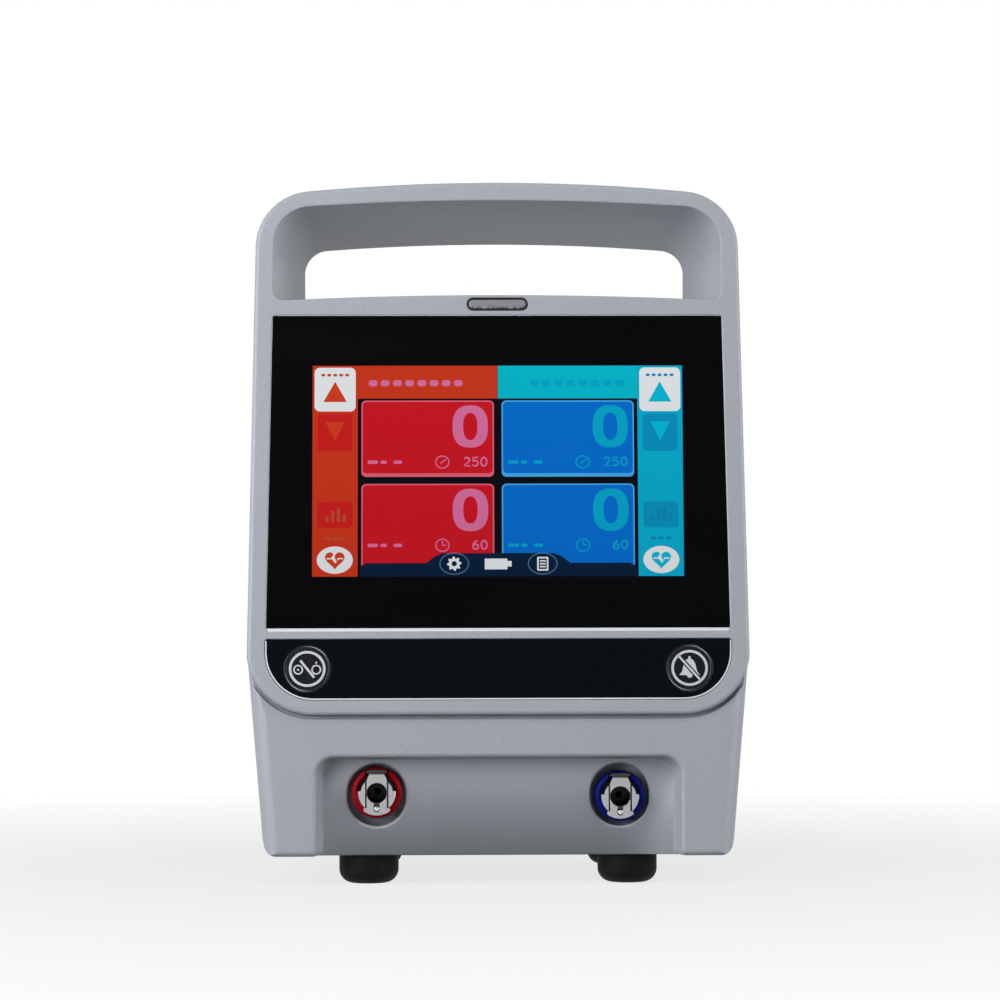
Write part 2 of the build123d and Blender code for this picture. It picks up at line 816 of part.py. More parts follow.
def main_board():
    part = slab(upright, Pos(0, 153) * Rectangle(150, 128), 38, 39.6)
    for x in (-70, 70):
        for z in (94, 212):
            part -= rod(x, z, 1.6, 37, 41)
    part += box((-30, 2), (35.4, 38), (150, 182))
    part += box((30, 52), (34.6, 38), (120, 136))
    part += box((-66, -44), (31.0, 38), (106, 128))
    part += box((-62, 10), (33.0, 38), (200, 208))
    return part


def board_standoffs():
    posts = []
    for x in (-70, 70):
        for z in (94, 212):
            post = Pos(x, z) * RegularPolygon(3, 6, major_radius=False)
            posts.append(slab(upright, post, 39.6, 46))
    return group(posts)


def power_supply():
    """Open cage with its own board, transformer and capacitors."""
    part = box((-78, -24), (48.5, 88), (138, 206))
    part -= box((-76.5, -25.5), (50, 89), (139.5, 204.5))
    part += box((-76.5, -25.5), (49.9, 53.6), (139.5, 204.5))
    part += box((-70, -46), (53.6, 76), (150, 176))
    for z in (186, 197):
        part += rod(-60, z, 4.5, 53.6, 78)
        part += rod(-38, z, 4.5, 53.6, 70)
    return part + box((-78, -24), (47.5, 48.5), (138, 206))


def pump_x(colour):
    return {"red": 6.0, "blue": 48.0}[colour]


pump_depth = 66.0
pump_axis_low = 152.0


def pump_head(colour):
    """Diaphragm head with the round chamber that the crank turns in."""
    x = pump_x(colour)
    part = box((x - 14, x + 14), (48, 84), (pump_axis_low, pump_axis_low + 22))
    part -= Pos(x, front_y + pump_depth, pump_axis_low + 12) * Cylinder(10, 20.2)
    part += Pos(x, front_y + pump_depth, pump_axis_low + 1) * Cylinder(3.2, 2)
    return part + box((x - 10, x + 10), (47.5, 48.1), (pump_axis_low, pump_axis_low + 22))


def pump_motor(colour):
    x = pump_x(colour)
    low = pump_axis_low + 22
    part = Pos(x, front_y + pump_depth, low + 17) * Cylinder(12, 34)
    part -= Pos(x, front_y + pump_depth, low + 5) * Cylinder(1.55, 12)
    return part + Pos(x, front_y + pump_depth, low + 35) * Cylinder(4, 2)


def pump_crank(colour):
    """Shaft end with its eccentric and counterweight."""
    x = pump_x(colour)
    low = pump_axis_low + 22
    shaft = Pos(x, front_y + pump_depth, low + 1) * Cylinder(1.5, 18)
    eccentric = Pos(x + 1.5, front_y + pump_depth, low - 5) * Cylinder(4.5, 5)
    weight = Pos(x - 2, front_y + pump_depth, low - 11) * Box(9, 7, 3)
    neck = Pos(x, front_y + pump_depth, low - 8.5) * Cylinder(2.5, 3)
    return shaft + eccentric + weight + neck


def valve_manifold():
    part = box((-62, 62), (49, 67), (manifold_bottom, manifold_top))
    part += box((-62, 62), (47.5, 49.1), (manifold_bottom + 4, manifold_top - 4))
    for colour in coupler_z:
        x = coupler_side[colour] * coupler_x
        part -= Pos(x, front_y + tube_rise_depth, manifold_bottom) * Cylinder(2.2, 20)
        part -= Pos(pump_x(colour), front_y + tube_rise_depth, manifold_top) * Cylinder(1.8, 14)
    return part


def solenoid_valves():
    valves = []
    for x in (-40, -14, 14, 40):
        valve = rod(x, 122, 7.5, 67, 88) + rod(x, 122, 3, 88, 91)
        valves.append(valve + box((x - 8.5, x + 8.5), (67, 70), (113.5, 130.5)))
    return group(valves)


def pressure_sensors():
    sensors = []
    for x in (-56, 28):
        body = box((x - 6, x + 6), (50, 62), (manifold_top, manifold_top + 5))
        sensors.append(body)
    return group(sensors)


def pump_tubes():
    tubes = []
    for colour in coupler_z:
        length = pump_axis_low - manifold_top
        ring = Cylinder(3.2, length) - Cylinder(1.8, length + 1)
        middle = manifold_top + length / 2
        tubes.append(Pos(pump_x(colour), front_y + tube_rise_depth, middle) * ring)
    return group(tubes)


def battery_pack():
    part = box((-78, -20), (88, 132), (24, 68))
    part = fillet(part.edges().filter_by(Axis.Y), 3)
    part += box((-60, -44), (84, 88), (42, 54))
    return part


def battery_tray():
    """Folded sheet on the case floor that carries the battery."""
    floor = body_bottom + wall
    part = box((-79.5, -18.5), (82, 130), (floor, floor + 1.5))
    part += box((-79.5, -18.5), (82, 83.5), (floor, 40))
    for x in (-79.5, -20):
        part += box((x, x + 1.5), (82, 130), (floor, 24))
    for x in (-76, -30):
        part += box((x, x + 8), (90, 128), (floor + 1.5, 24))
    return part - Pos(-foot_x, front_y + foot_depths[1], floor) * Cylinder(4.5, 12)


def speaker():
    rim = rod(speaker_x, speaker_z, 18, 134.5, 137)
    cone = rod(speaker_x, speaker_z, 15.5, 128, 134.5)
    magnet = rod(speaker_x, speaker_z, 10, 120, 128)
    return rim + cone + magnet - rod(speaker_x, speaker_z, 13.5, 135.5, 138)


# Back panel


def battery_door():
    plate = Pos(door_x, door_z) * RectangleRounded(door_width, door_height, 4)
    part = slab(upright, plate, back_depth - 1.6, back_depth + 0.4)
    part = chamfer(part.faces().sort_by(Axis.Y)[-1].edges(), 0.4)
    for x in door_screw_places():
        part -= rod(x, door_z, 1.7, back_depth - 3, back_depth + 2)
    return part


def case_screws():
    head_plane = upright.offset(4 - back_depth)
    return group([head_plane * (Pos(x, z) * pan_screw(46)) for x, z in case_screw_places])


def mains_inlet():
    """Three pin inlet with a bay for the fuse drawer under it."""
    flange = Pos(inlet_x, inlet_z) * RectangleRounded(34, 39, 3)
    part = slab(upright, flange, back_depth, back_depth + 2.5)
    part = fillet(part.faces().sort_by(Axis.Y)[-1].edges(), 1.0)
    body = Pos(inlet_x, inlet_z) * Rectangle(27.8, 32.8)
    part += slab(upright, body, back_depth - 26, back_depth + 0.5)
    socket = outline(
        [(-12.2, -8.2), (12.2, -8.2), (12.2, 3.6), (7.6, 8.2), (-7.6, 8.2), (-12.2, 3.6)],
        {0: 1.5, 1: 1.5, 2: 0.8, 3: 0.8, 4: 0.8, 5: 0.8},
    )
    part -= slab(upright, Pos(inlet_x, inlet_z + 5.6) * socket, back_depth - 16, back_depth + 4)
    bay = Pos(inlet_x, inlet_z - 10.6) * Rectangle(22.6, 8.4)
    return part - slab(upright, bay, back_depth - 24.6, back_depth + 4)


def inlet_pins():
    pins = []
    for x, z in ((-7, 4.4), (0, 7.6), (7, 4.4)):
        blade = Pos(inlet_x + x, inlet_z + z) * Rectangle(2, 4)
        pins.append(slab(upright, blade, back_depth - 16, back_depth - 1.5))
    return group(pins)


def fuse_drawer():
    """Tray for two fuses, pulled out to the back by the lip of its front."""
    tray = Pos(inlet_x, inlet_z - 10.6) * Rectangle(22.0, 7.8)
    part = slab(upright, tray, back_depth - 24.2, back_depth + 2.5)
    lip = Pos(inlet_x, inlet_z - 13.9) * Rectangle(14, 1.2)
    part += slab(upright, lip, back_depth + 2.4, back_depth + 3.8)
    for x in (-5.5, 5.5):
        part -= rod(inlet_x + x, inlet_z - 9.6, 2.7, back_depth - 22.5, back_depth - 1.5)
        part -= box(
            (inlet_x + x - 2.7, inlet_x + x + 2.7),
            (back_depth - 22.5, back_depth - 1.5),
            (inlet_z - 9.6, inlet_z - 6),
        )
    return part


def fuses():
    near, far = back_depth - 22.2, back_depth - 2.2
    return group([rod(inlet_x + x, inlet_z - 9.6, 2.6, near, far) for x in (-5.5, 5.5)])


def earth_stud():
    part = rod(stud_x, stud_z, stud_radius, back_depth - 8, back_depth + 15)
    part = chamfer(part.edges().group_by(Axis.Y)[-1], 0.8)
    return part + rod(stud_x, stud_z, 6, back_depth, back_depth + 2)


def stud_nut():
    hexagon = Pos(stud_x, stud_z) * RegularPolygon(5, 6, major_radius=False)
    part = slab(upright, hexagon, back_depth - wall - 4, back_depth - wall)
    return part - rod(stud_x, stud_z, stud_radius + 0.05, back_depth - 20, back_depth)


# Pole clamp


def clamp_screw_places():
    return [(x, clamp_z + z) for x in (-22, 22) for z in (-18, 18)]


def clamp_bracket():
    """Cast bracket: base plate, grooved fixed jaw and the arm that carries the screw."""
    low, high = clamp_z - clamp_half_height, clamp_z + clamp_half_height
    points = [
        (jaw_outer, back_depth),
        (screw_arm_outer, back_depth),
        (screw_arm_outer, pole_depth + 12),
        (screw_arm_inner, pole_depth + 12),
        (screw_arm_inner, back_depth + clamp_base),
        (jaw_lip, back_depth + clamp_base),
        (jaw_lip, pole_depth + 16),
        (jaw_outer, pole_depth + 16),
    ]
    plan = make_face(Polyline(*[(x, front_y + depth) for x, depth in points], close=True))
    part = Pos(0, 0, low) * extrude(plan, amount=high - low)
    part = fillet(part.edges().filter_by(Axis.Z).sort_by_distance((screw_arm_outer, 96, clamp_z))[:2], 5)
    part = fillet(part.edges().filter_by(Axis.Z).sort_by_distance((jaw_outer, 96, clamp_z))[:1], 8)
    part -= Pos(0, front_y + pole_depth, clamp_z) * Cylinder(pole_radius, 2 * clamp_half_height + 4)
    part -= Pos(44, front_y + pole_depth, clamp_z) * Rot(0, 90, 0) * Cylinder(clamp_screw_radius + 0.08, 40)
    for x, z in clamp_screw_places():
        part -= rod(x, z, 2.6, back_depth - 1, back_depth + 40)
        part -= rod(x, z, 4.6, back_depth + clamp_base, pole_depth + 20)
    return part


def clamp_bracket_screws():
    """Socket head screws, two of them at the bottom of holes through the jaw."""
    screws = []
    head = back_depth + clamp_base
    for x, z in clamp_screw_places():
        socket = Pos(x, z) * RegularPolygon(2, 6, major_radius=False)
        screw = rod(x, z, 2.5, back_depth - 9, head + 0.1) + rod(x, z, 4.25, head, head + 4.5)
        screws.append(screw - slab(upright, socket, head + 2, head + 5))
    return group(screws)


def turned(x_low, x_high, radius):
    """Round bar across the object on the clamp screw's axis."""
    middle = (x_low + x_high) / 2
    return Pos(middle, front_y + pole_depth, clamp_z) * Rot(0, 90, 0) * Cylinder(radius, x_high - x_low)


def clamp_screw():
    shank = turned(pad_face + 7.5, knob_outer - 6, clamp_screw_radius)
    return shank + turned(pad_face + 5.6, pad_face + 7.6, 3.5)


def clamp_knob():
    """Lobed hand knob."""
    disc = Circle(knob_radius - 2.5)
    lobes = [Rot(0, 0, angle) * Pos(knob_radius - 5, 0) * Circle(5) for angle in range(0, 360, 60)]
    star = disc + lobes
    plane = Plane(origin=(knob_inner + 6, front_y + pole_depth, clamp_z), x_dir=(0, 1, 0), z_dir=(1, 0, 0))
    part = extrude(plane * star, amount=knob_outer - knob_inner - 6)
    part = fillet(part.faces().sort_by(Axis.X)[-1].edges(), 2.0)
    part += turned(knob_inner, knob_inner + 6, 10)
    return part - turned(knob_inner - 1, knob_outer - 6, clamp_screw_radius)


def clamp_pad():
    """Pressure pad that swivels on the screw's end, hollowed to fit the pole."""
    part = turned(pad_face, pad_face + 7, 12)
    part = fillet(part.edges().sort_by(Axis.X)[-1], 2)
    part -= turned(pad_face + 5.4, pad_face + 8, 3.6)
    groove = Pos(pad_face + 1 - pole_radius, front_y + pole_depth, clamp_z) * Cylinder(pole_radius, 40)
    return part - groove


# Feet


def rubber_feet():
    feet = []
    for x in (-foot_x, foot_x):
        for depth in foot_depths:
            foot = Pos(0, 0, body_bottom / 2) * Cylinder(foot_radius, body_bottom)
            foot = fillet(foot.edges().group_by(Axis.Z)[0], foot_round)
            foot -= Pos(0, 0, 2.5) * Cylinder(4.6, 5)
            foot -= Pos(0, 0, 8) * Cylinder(2.15, 12)
            feet.append(Pos(x, front_y + depth, 0) * foot)
    return group(feet)


def foot_screws():
    screws = []
    for x in (-foot_x, foot_x):
        for depth in foot_depths:
            screw = Pos(0, 0, 4) * Cylinder(4.2, 2) + Pos(0, 0, 11) * Cylinder(2.0, 12.2)
            slot = Rot(0, 0, 0) * (Box(4.4, 0.9, 1) + Box(0.9, 4.4, 1))
            screws.append(Pos(x, front_y + depth, 0) * (screw - Pos(0, 0, 3) * slot))
    return group(screws)


shell = case_shell()

parts = {
    "front_bezel": front_bezel(),
    "main_case": main_case(shell),
    "carry_handle": carry_handle(shell),
    "rear_cover": rear_cover(shell),
    "screen_glass": screen_glass(),
    "glass_gasket": glass_gasket(),
    "display_panel": display_panel(),
    "display_bracket": display_bracket(),
    "short_screws": short_screws(),
    "long_screws": long_screws(),
    "alarm_light_lens": alarm_light_lens(),
    "alarm_light_seal": alarm_light_seal(),
    "alarm_light_board": alarm_light_board(),
    "keypad_overlay": keypad_overlay(),
    "keypad_board": keypad_board(),
    "standby_button": key_button(-key_x),
    "alarm_silence_button": key_button(key_x),
    "coupler_nuts": coupler_nuts(),
    "chassis_plate": chassis_plate(),
    "main_board": main_board(),
    "board_standoffs": board_standoffs(),
    "power_supply": power_supply(),
    "valve_manifold": valve_manifold(),
    "solenoid_valves": solenoid_valves(),
    "pressure_sensors": pressure_sensors(),
    "pump_tubes": pump_tubes(),
    "pump_heads": group([pump_head(colour) for colour in coupler_z]),
    "pump_motors": group([pump_motor(colour) for colour in coupler_z]),
    "battery_pack": battery_pack(),
    "battery_tray": battery_tray(),
    "battery_door": battery_door(),
    "speaker": speaker(),
    "case_screws": case_screws(),
    "mains_inlet": mains_inlet(),
    "inlet_pins": inlet_pins(),
    "fuse_drawer": fuse_drawer(),
    "fuses": fuses(),
    "earth_stud": earth_stud(),
    "stud_nut": stud_nut(),
    "clamp_bracket": clamp_bracket(),
    "clamp_bracket_screws": clamp_bracket_screws(),
    "clamp_screw": clamp_screw(),
    "clamp_knob": clamp_knob(),
    "clamp_pad": clamp_pad(),
    "rubber_feet": rubber_feet(),
    "foot_screws": foot_screws(),
}

for colour in coupler_z:
    parts[colour + "_coupler_body"] = coupler_body(colour)
    parts[colour + "_coupler_ring"] = coupler_ring(colour)
    parts[colour + "_latch_plate"] = latch_plate(colour)
    parts[colour + "_latch_spring"] = latch_spring(colour)
    parts[colour + "_lock_pin"] = lock_pin(colour)
    parts[colour + "_air_tube"] = air_tube(colour)
    parts[colour + "_pump_crank"] = pump_crank(colour)

for name, part in parts.items():
    save(name, part)
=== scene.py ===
from math import cos, pi, radians, sin

import bmesh
import bpy
from mathutils import Euler, Matrix, Vector


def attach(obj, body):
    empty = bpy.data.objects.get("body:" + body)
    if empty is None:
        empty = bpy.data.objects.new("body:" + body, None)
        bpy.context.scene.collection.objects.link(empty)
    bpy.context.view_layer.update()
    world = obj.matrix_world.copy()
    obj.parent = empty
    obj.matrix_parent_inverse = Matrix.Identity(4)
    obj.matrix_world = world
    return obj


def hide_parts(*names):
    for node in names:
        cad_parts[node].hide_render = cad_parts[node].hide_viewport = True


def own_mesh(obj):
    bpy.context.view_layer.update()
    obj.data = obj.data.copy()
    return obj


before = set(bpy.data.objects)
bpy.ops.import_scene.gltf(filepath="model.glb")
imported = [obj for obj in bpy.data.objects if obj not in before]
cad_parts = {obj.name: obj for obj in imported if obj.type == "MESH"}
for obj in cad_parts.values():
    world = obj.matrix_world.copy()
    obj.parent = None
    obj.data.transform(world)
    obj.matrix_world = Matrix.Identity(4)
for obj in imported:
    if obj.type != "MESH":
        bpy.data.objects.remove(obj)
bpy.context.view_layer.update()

# Surgical tourniquet controller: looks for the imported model. Metres, in the model's own frame.
MM = 0.001
scene = bpy.context.scene

# The leaning front face: its lean, where its lower edge is, and how deep the glass lies in it
FACE_LEAN = radians(4.0)
FACE_FRONT_Y = -96.0 * MM
FACE_FOOT = 71.0 * MM
GLASS_DEPTH = 0.3 * MM

# The couplers: heights of their ports, the plane behind which their metal is painted dark as shade in
# the bore and its dark valve, and how far the thumb lip with its painted shade and reflection sits above the
# port
PORT_HEIGHTS = {"red": 38.3 * MM, "blue": 36.6 * MM}
BORE_START = FACE_FRONT_Y + 9.72 * MM
LIP_RISE = 7.6 * MM

# The coupler pocket, whose floor curves back towards its open lower end
POCKET_HALF = 73.0 * MM
POCKET_TOP, POCKET_LOW = 50.0 * MM, 12.0 * MM
POCKET_START, POCKET_END = FACE_FRONT_Y + 11.3 * MM, FACE_FRONT_Y + 21.0 * MM
POCKET_CURVE = 21.0 * MM

# The keys: their middle on the face in millimetres, the depths of cap and rim below the face, the
# rim's radius, and the direction along which a highlight is painted on the rim
KEY_X = 79.3
KEY_HEIGHT = 90.2
KEY_CAP_DEPTH = 0.35 * MM
KEY_RIM_DEPTH = 0.10 * MM
KEY_RIM_RADIUS = 9.25 * MM
PAINTED_GLINT_DIRECTION = (0.57, 0.82)

# The glass, the keypad and the lit display, in millimetres up and across the face
GLASS_LOW, GLASS_HIGH = 107.0, 238.3
GLASS_LOW_HALF, GLASS_HIGH_HALF = 96.4, 94.2
KEYPAD_LOW, KEYPAD_HIGH = 77.3, 101.8
KEYPAD_HALF, KEYPAD_CORNER = 96.8, 20.0
DISPLAY_MIDDLE = 172.8
DISPLAY_HALF, DISPLAY_RISE = 77.4, 44.3
COLUMN_START, COLUMN_MIDDLE = 58.5, 68.0

# The alarm light's lens: the band over which its dark specks thin out
SPECKS_LOW, SPECKS_HIGH = 240.8 * MM, 242.5 * MM

# Camera, at the photograph's viewing angle
CAMERA_PLACE = (-0.0204, -1.346, 0.1094)
CAMERA_YAW = 0.0169
CAMERA_PITCH = 0.0404
CAMERA_ROLL = -0.0025
CAMERA_LENS = 108.52

# Studio light: the world's share as a lamp, the floor's white near the object, its bounce near
# and far, and the distances over which both change
WORLD_AS_LAMP = 0.10
FLOOR_HALF = 6.0
FLOOR_WHITE_NEAR = 0.76
FLOOR_WHITE_REACH = (0.16, 0.62)
FLOOR_BOUNCE_NEAR, FLOOR_BOUNCE_FAR = 0.12, 0.24
FLOOR_BOUNCE_REACH = (0.2, 0.9)

# Lamps: place, width and height in metres, and power in watts
LAMP_AIM = (0.0, -0.02, 0.15)
LAMPS = {
    "left_softbox": ((-1.00, -0.90, 0.45), (0.9, 0.9), 16.5),
    "right_softbox": ((1.40, -0.55, 0.45), (0.8, 0.9), 13.5),
    "overhead_softbox": ((-0.10, -1.10, 1.25), (1.2, 0.7), 6.0),
}


# Materials


class Surface:
    """A procedural material: a Principled shader and short ways to put nodes before it."""

    def __init__(self, name, colour, roughness, metallic=0.0):
        self.material = bpy.data.materials.new(name)
        self.material.use_nodes = True
        self.material.diffuse_color = (*colour[:3], 1.0)
        self.tree = self.material.node_tree
        self.shader = self.tree.nodes["Principled BSDF"]
        self.shader.inputs["Base Color"].default_value = (*colour[:3], 1.0)
        self.shader.inputs["Roughness"].default_value = roughness
        self.shader.inputs["Metallic"].default_value = metallic
        self.place = self.add("ShaderNodeTexCoord").outputs["Object"]

    def add(self, kind, **inputs):
        """New node with its inputs linked or set."""
        made = self.tree.nodes.new(kind)
        for name, value in inputs.items():
            self.put(made, name.replace("_", " "), value)
        return made

    def put(self, node, name, value):
        """Links a socket to a node's input, or sets the input to a value."""
        if isinstance(value, bpy.types.NodeSocket):
            self.tree.links.new(value, node.inputs[name])
        else:
            node.inputs[name].default_value = value

    def link(self, name, value):
        self.put(self.shader, name, value)

    def noise(self, scale, detail=3.0, stretch=None):
        """Fine noise on the object's coordinates, drawn out where the stretch is small."""
        place = self.place
        if stretch:
            mapping = self.add("ShaderNodeMapping", Vector=place)
            mapping.inputs["Scale"].default_value = stretch
            place = mapping.outputs["Vector"]
        return self.add("ShaderNodeTexNoise", Vector=place, Scale=scale, Detail=detail).outputs["Fac"]

    def ramp(self, factor, *stops):
        """Colours from pairs of position and colour."""
        made = self.add("ShaderNodeValToRGB", Fac=factor)
        elements = made.color_ramp.elements
        while len(elements) < len(stops):
            elements.new(0.5)
        for element, (position, colour) in zip(elements, stops):
            element.position = position
            element.color = (*colour[:3], 1.0)
        return made.outputs["Color"]

    def spread(self, value, low, high, start=0.0, end=1.0):
        """A value between start and end, turned into one between low and high."""
        made = self.add("ShaderNodeMapRange", Value=value)
        for index, number in enumerate((start, end, low, high), 1):
            made.inputs[index].default_value = number
        return made.outputs["Result"]

    def math(self, operation, first, second=0.0):
        made = self.tree.nodes.new("ShaderNodeMath")
        made.operation = operation
        for index, value in enumerate((first, second)):
            if isinstance(value, bpy.types.NodeSocket):
                self.tree.links.new(value, made.inputs[index])
            else:
                made.inputs[index].default_value = value
        return made.outputs["Value"]

    def bump(self, height, distance, strength=1.0, edge=0.0, below=None):
        """Relief from a height, on edges that a small radius softens or on another relief."""
        made = self.add("ShaderNodeBump", Height=height, Distance=distance, Strength=strength)
        if below or edge:
            self.put(made, "Normal", below or self.soft_edge(edge))
        self.link("Normal", made.outputs["Normal"])

    def soft_edge(self, radius):
        made = self.add("ShaderNodeBevel")
        made.samples = 6
        made.inputs["Radius"].default_value = radius
        return made.outputs["Normal"]


def scaled(colour, factor):
    """The same colour made darker or lighter."""
    return tuple(min(1.0, channel * factor) for channel in colour[:3])


def pocket_curve(made):
    """Normals of the pocket's floor, turned down more and more towards its lower end."""
    place = made.add("ShaderNodeSeparateXYZ", Vector=made.place)
    across = made.math("DIVIDE", place.outputs["X"], POCKET_HALF)
    sides = made.spread(made.math("POWER", made.math("ABSOLUTE", across), 10.0), 1.0, 0.0)
    start = made.spread(place.outputs["Y"], 0.0, 1.0, POCKET_START, POCKET_START + 0.6 * MM)
    end = made.spread(place.outputs["Y"], 1.0, 0.0, POCKET_END, POCKET_END + 1.0 * MM)
    inside = made.math("MULTIPLY", made.math("MULTIPLY", start, end), sides)
    drop = made.spread(place.outputs["Z"], 1.0, 0.0, POCKET_LOW, POCKET_TOP)
    steep = made.math("MULTIPLY", made.math("MULTIPLY", drop, drop), 0.65)
    bend = made.math("ADD", steep, made.math("MULTIPLY", drop, 0.35))
    depth = made.math("MULTIPLY", bend, inside)
    curve = made.add("ShaderNodeBump", Height=depth, Distance=POCKET_CURVE, Normal=made.soft_edge(0.0007))
    curve.invert = True
    return curve.outputs["Normal"]


def silver_paint():
    """Fine textured silver-grey lacquer with a little metal flake in it."""
    base = (0.375, 0.400, 0.445)
    made = Surface("silver_paint", base, 0.42)
    made.shader.inputs["Specular IOR Level"].default_value = 0.42
    flake = made.noise(2600.0, 1.0)
    cloud = made.noise(28.0, 4.0)
    fine = made.ramp(flake, (0.30, scaled(base, 0.90)), (0.52, base), (0.72, scaled(base, 1.14)))
    mottle = made.ramp(cloud, (0.30, (0.97, 0.97, 0.97)), (0.70, (1.0, 1.0, 1.0)))
    mix = made.add("ShaderNodeMix")
    mix.data_type = "RGBA"
    mix.blend_type = "MULTIPLY"
    mix.inputs["Factor"].default_value = 1.0
    made.tree.links.new(fine, mix.inputs["A"])
    made.tree.links.new(mottle, mix.inputs["B"])
    made.link("Base Color", mix.outputs["Result"])
    made.link("Roughness", made.spread(flake, 0.42, 0.54))
    made.link("Metallic", made.spread(flake, 0.04, 0.22, 0.45, 0.75))
    made.bump(made.noise(1500.0, 2.0), 0.00003, 0.55, below=pocket_curve(made))
    return made.material


def plastic(name, colour, roughness):
    """Moulded plastic with a fine spark-eroded grain."""
    made = Surface(name, colour, roughness)
    grit = made.noise(900.0, 3.0)
    made.link("Base Color", made.ramp(grit, (0.35, scaled(colour, 0.86)), (0.65, scaled(colour, 1.12))))
    made.link("Roughness", made.spread(grit, roughness - 0.06, roughness + 0.10))
    made.bump(grit, 0.00002, 0.6, edge=0.0004)
    return made.material


def rubber(name, colour):
    """Soft rubber: matt, with faint dusty patches."""
    made = Surface(name, colour, 0.62)
    made.shader.inputs["Specular IOR Level"].default_value = 0.12
    dust = made.noise(90.0, 5.0)
    made.link("Base Color", made.ramp(dust, (0.40, colour), (0.85, scaled(colour, 1.9))))
    made.link("Roughness", made.spread(dust, 0.52, 0.72))
    made.bump(made.noise(700.0, 3.0), 0.00003, 0.5, edge=0.0004)
    return made.material


def metal(name, colour, roughness, stretch=(1.0, 1.0, 1.0), grain=500.0, edge=0.00025):
    """Machined, plated or blasted metal; the grain runs where the stretch is small."""
    made = Surface(name, colour, roughness, 1.0)
    lines = made.noise(grain, 4.0, stretch)
    made.link("Base Color", made.ramp(lines, (0.30, scaled(colour, 0.88)), (0.70, scaled(colour, 1.05))))
    made.link("Roughness", made.spread(lines, roughness * 0.75, roughness * 1.35))
    made.bump(lines, 0.000008, 0.4, edge=edge)
    return made.material


def plating_with_painted_shade(name, port_height):
    """Matt nickel on the coupler's face; behind the face it is painted dark, as shade in the bore and its
    dark valve, and the thumb lip above it carries painted shade and reflection of the dark well.
    """
    bright = (0.60, 0.60, 0.62)
    made = Surface(name, bright, 0.34, 1.0)
    place = made.add("ShaderNodeSeparateXYZ", Vector=made.place)
    lip_low = port_height + LIP_RISE
    # Painted shade: metal behind the face goes dark, standing for the shaded bore and the dark valve in it.
    bore_painted_shade = made.spread(place.outputs["Y"], 1.0, 0.03, BORE_START, BORE_START + 0.2 * MM)
    # Painted shade and reflection: the thumb lip goes dark as if mirroring the dark well above it.
    lip_painted_shade = made.spread(place.outputs["Z"], 1.0, 0.12, lip_low, lip_low + 0.3 * MM)
    shade = made.math("MULTIPLY", bore_painted_shade, lip_painted_shade)
    grain = made.noise(900.0, 3.0)
    tone = made.math("MULTIPLY", made.spread(grain, 0.88, 1.06), shade)
    made.link("Base Color", made.ramp(tone, (0.0, (0.004, 0.004, 0.004)), (1.0, bright)))
    made.link("Roughness", made.spread(grain, 0.26, 0.42))
    made.bump(grain, 0.000008, 0.4, edge=0.00025)
    return made.material


def anodised(name, colour):
    """Dyed coupler collar."""
    made = Surface(name, colour, 0.42, 0.15)
    made.shader.inputs["Specular IOR Level"].default_value = 0.08
    fine = made.noise(1200.0, 2.0)
    made.link("Base Color", made.ramp(fine, (0.35, scaled(colour, 0.88)), (0.65, scaled(colour, 1.08))))
    made.bump(fine, 0.00001, 0.4, edge=0.0003)
    return made.material


def black_glass():
    """Polished cover glass over black ink, with a trace of wiping."""
    made = Surface("cover_glass", (0.0022, 0.0022, 0.003), 0.05)
    made.shader.inputs["Specular IOR Level"].default_value = 0.2
    wipes = made.noise(14.0, 4.0, (1.0, 1.0, 3.0))
    made.link("Roughness", made.spread(wipes, 0.04, 0.10, 0.35, 0.75))
    clean, wiped = (0.0020, 0.0020, 0.0028), (0.0030, 0.0032, 0.0040)
    made.link("Base Color", made.ramp(wipes, (0.3, clean), (0.8, wiped)))
    return made.material


def keypad_film(name, roughness, gloss):
    """Black printed film with an even pebble grain."""
    colour = (0.0026, 0.0038, 0.0062)
    made = Surface(name, colour, roughness)
    made.shader.inputs["Specular IOR Level"].default_value = gloss
    pebble = made.noise(1900.0, 2.0)
    made.link("Base Color", made.ramp(pebble, (0.35, scaled(colour, 0.55)), (0.70, scaled(colour, 1.7))))
    made.link("Roughness", made.spread(pebble, roughness - 0.06, roughness + 0.10))
    made.bump(pebble, 0.00001, 0.4, edge=0.0002)
    return made.material


def light_lens():
    """Grey light guide with darker specks gathered along its lower side."""
    base = (0.255, 0.252, 0.270)
    made = Surface("light_lens", base, 0.40)
    made.shader.inputs["Specular IOR Level"].default_value = 0.3
    height = made.add("ShaderNodeSeparateXYZ", Vector=made.place).outputs["Z"]
    low = made.spread(height, 0.56, 0.30, SPECKS_LOW, SPECKS_HIGH)
    grit = made.noise(950.0, 4.0)
    dark = made.spread(made.math("SUBTRACT", grit, low), 0.0, 1.0, -0.04, 0.05)
    tone = made.math("MULTIPLY", dark, made.spread(made.noise(1500.0, 3.0), 0.82, 1.0, 0.35, 0.6))
    stops = ((0.0, scaled(base, 0.20)), (0.55, scaled(base, 0.7)), (1.0, base))
    made.link("Base Color", made.ramp(tone, *stops))
    made.bump(grit, 0.00002, 0.5, edge=0.0004)
    return made.material


def circuit_board():
    """Green solder mask over paler tracks."""
    colour = (0.02, 0.13, 0.06)
    made = Surface("solder_mask", colour, 0.35)
    tracks = made.add("ShaderNodeTexBrick", Vector=made.place, Scale=160.0).outputs["Fac"]
    made.link("Base Color", made.ramp(tracks, (0.0, colour), (1.0, scaled(colour, 1.8))))
    made.bump(tracks, 0.00002, 0.5)
    return made.material


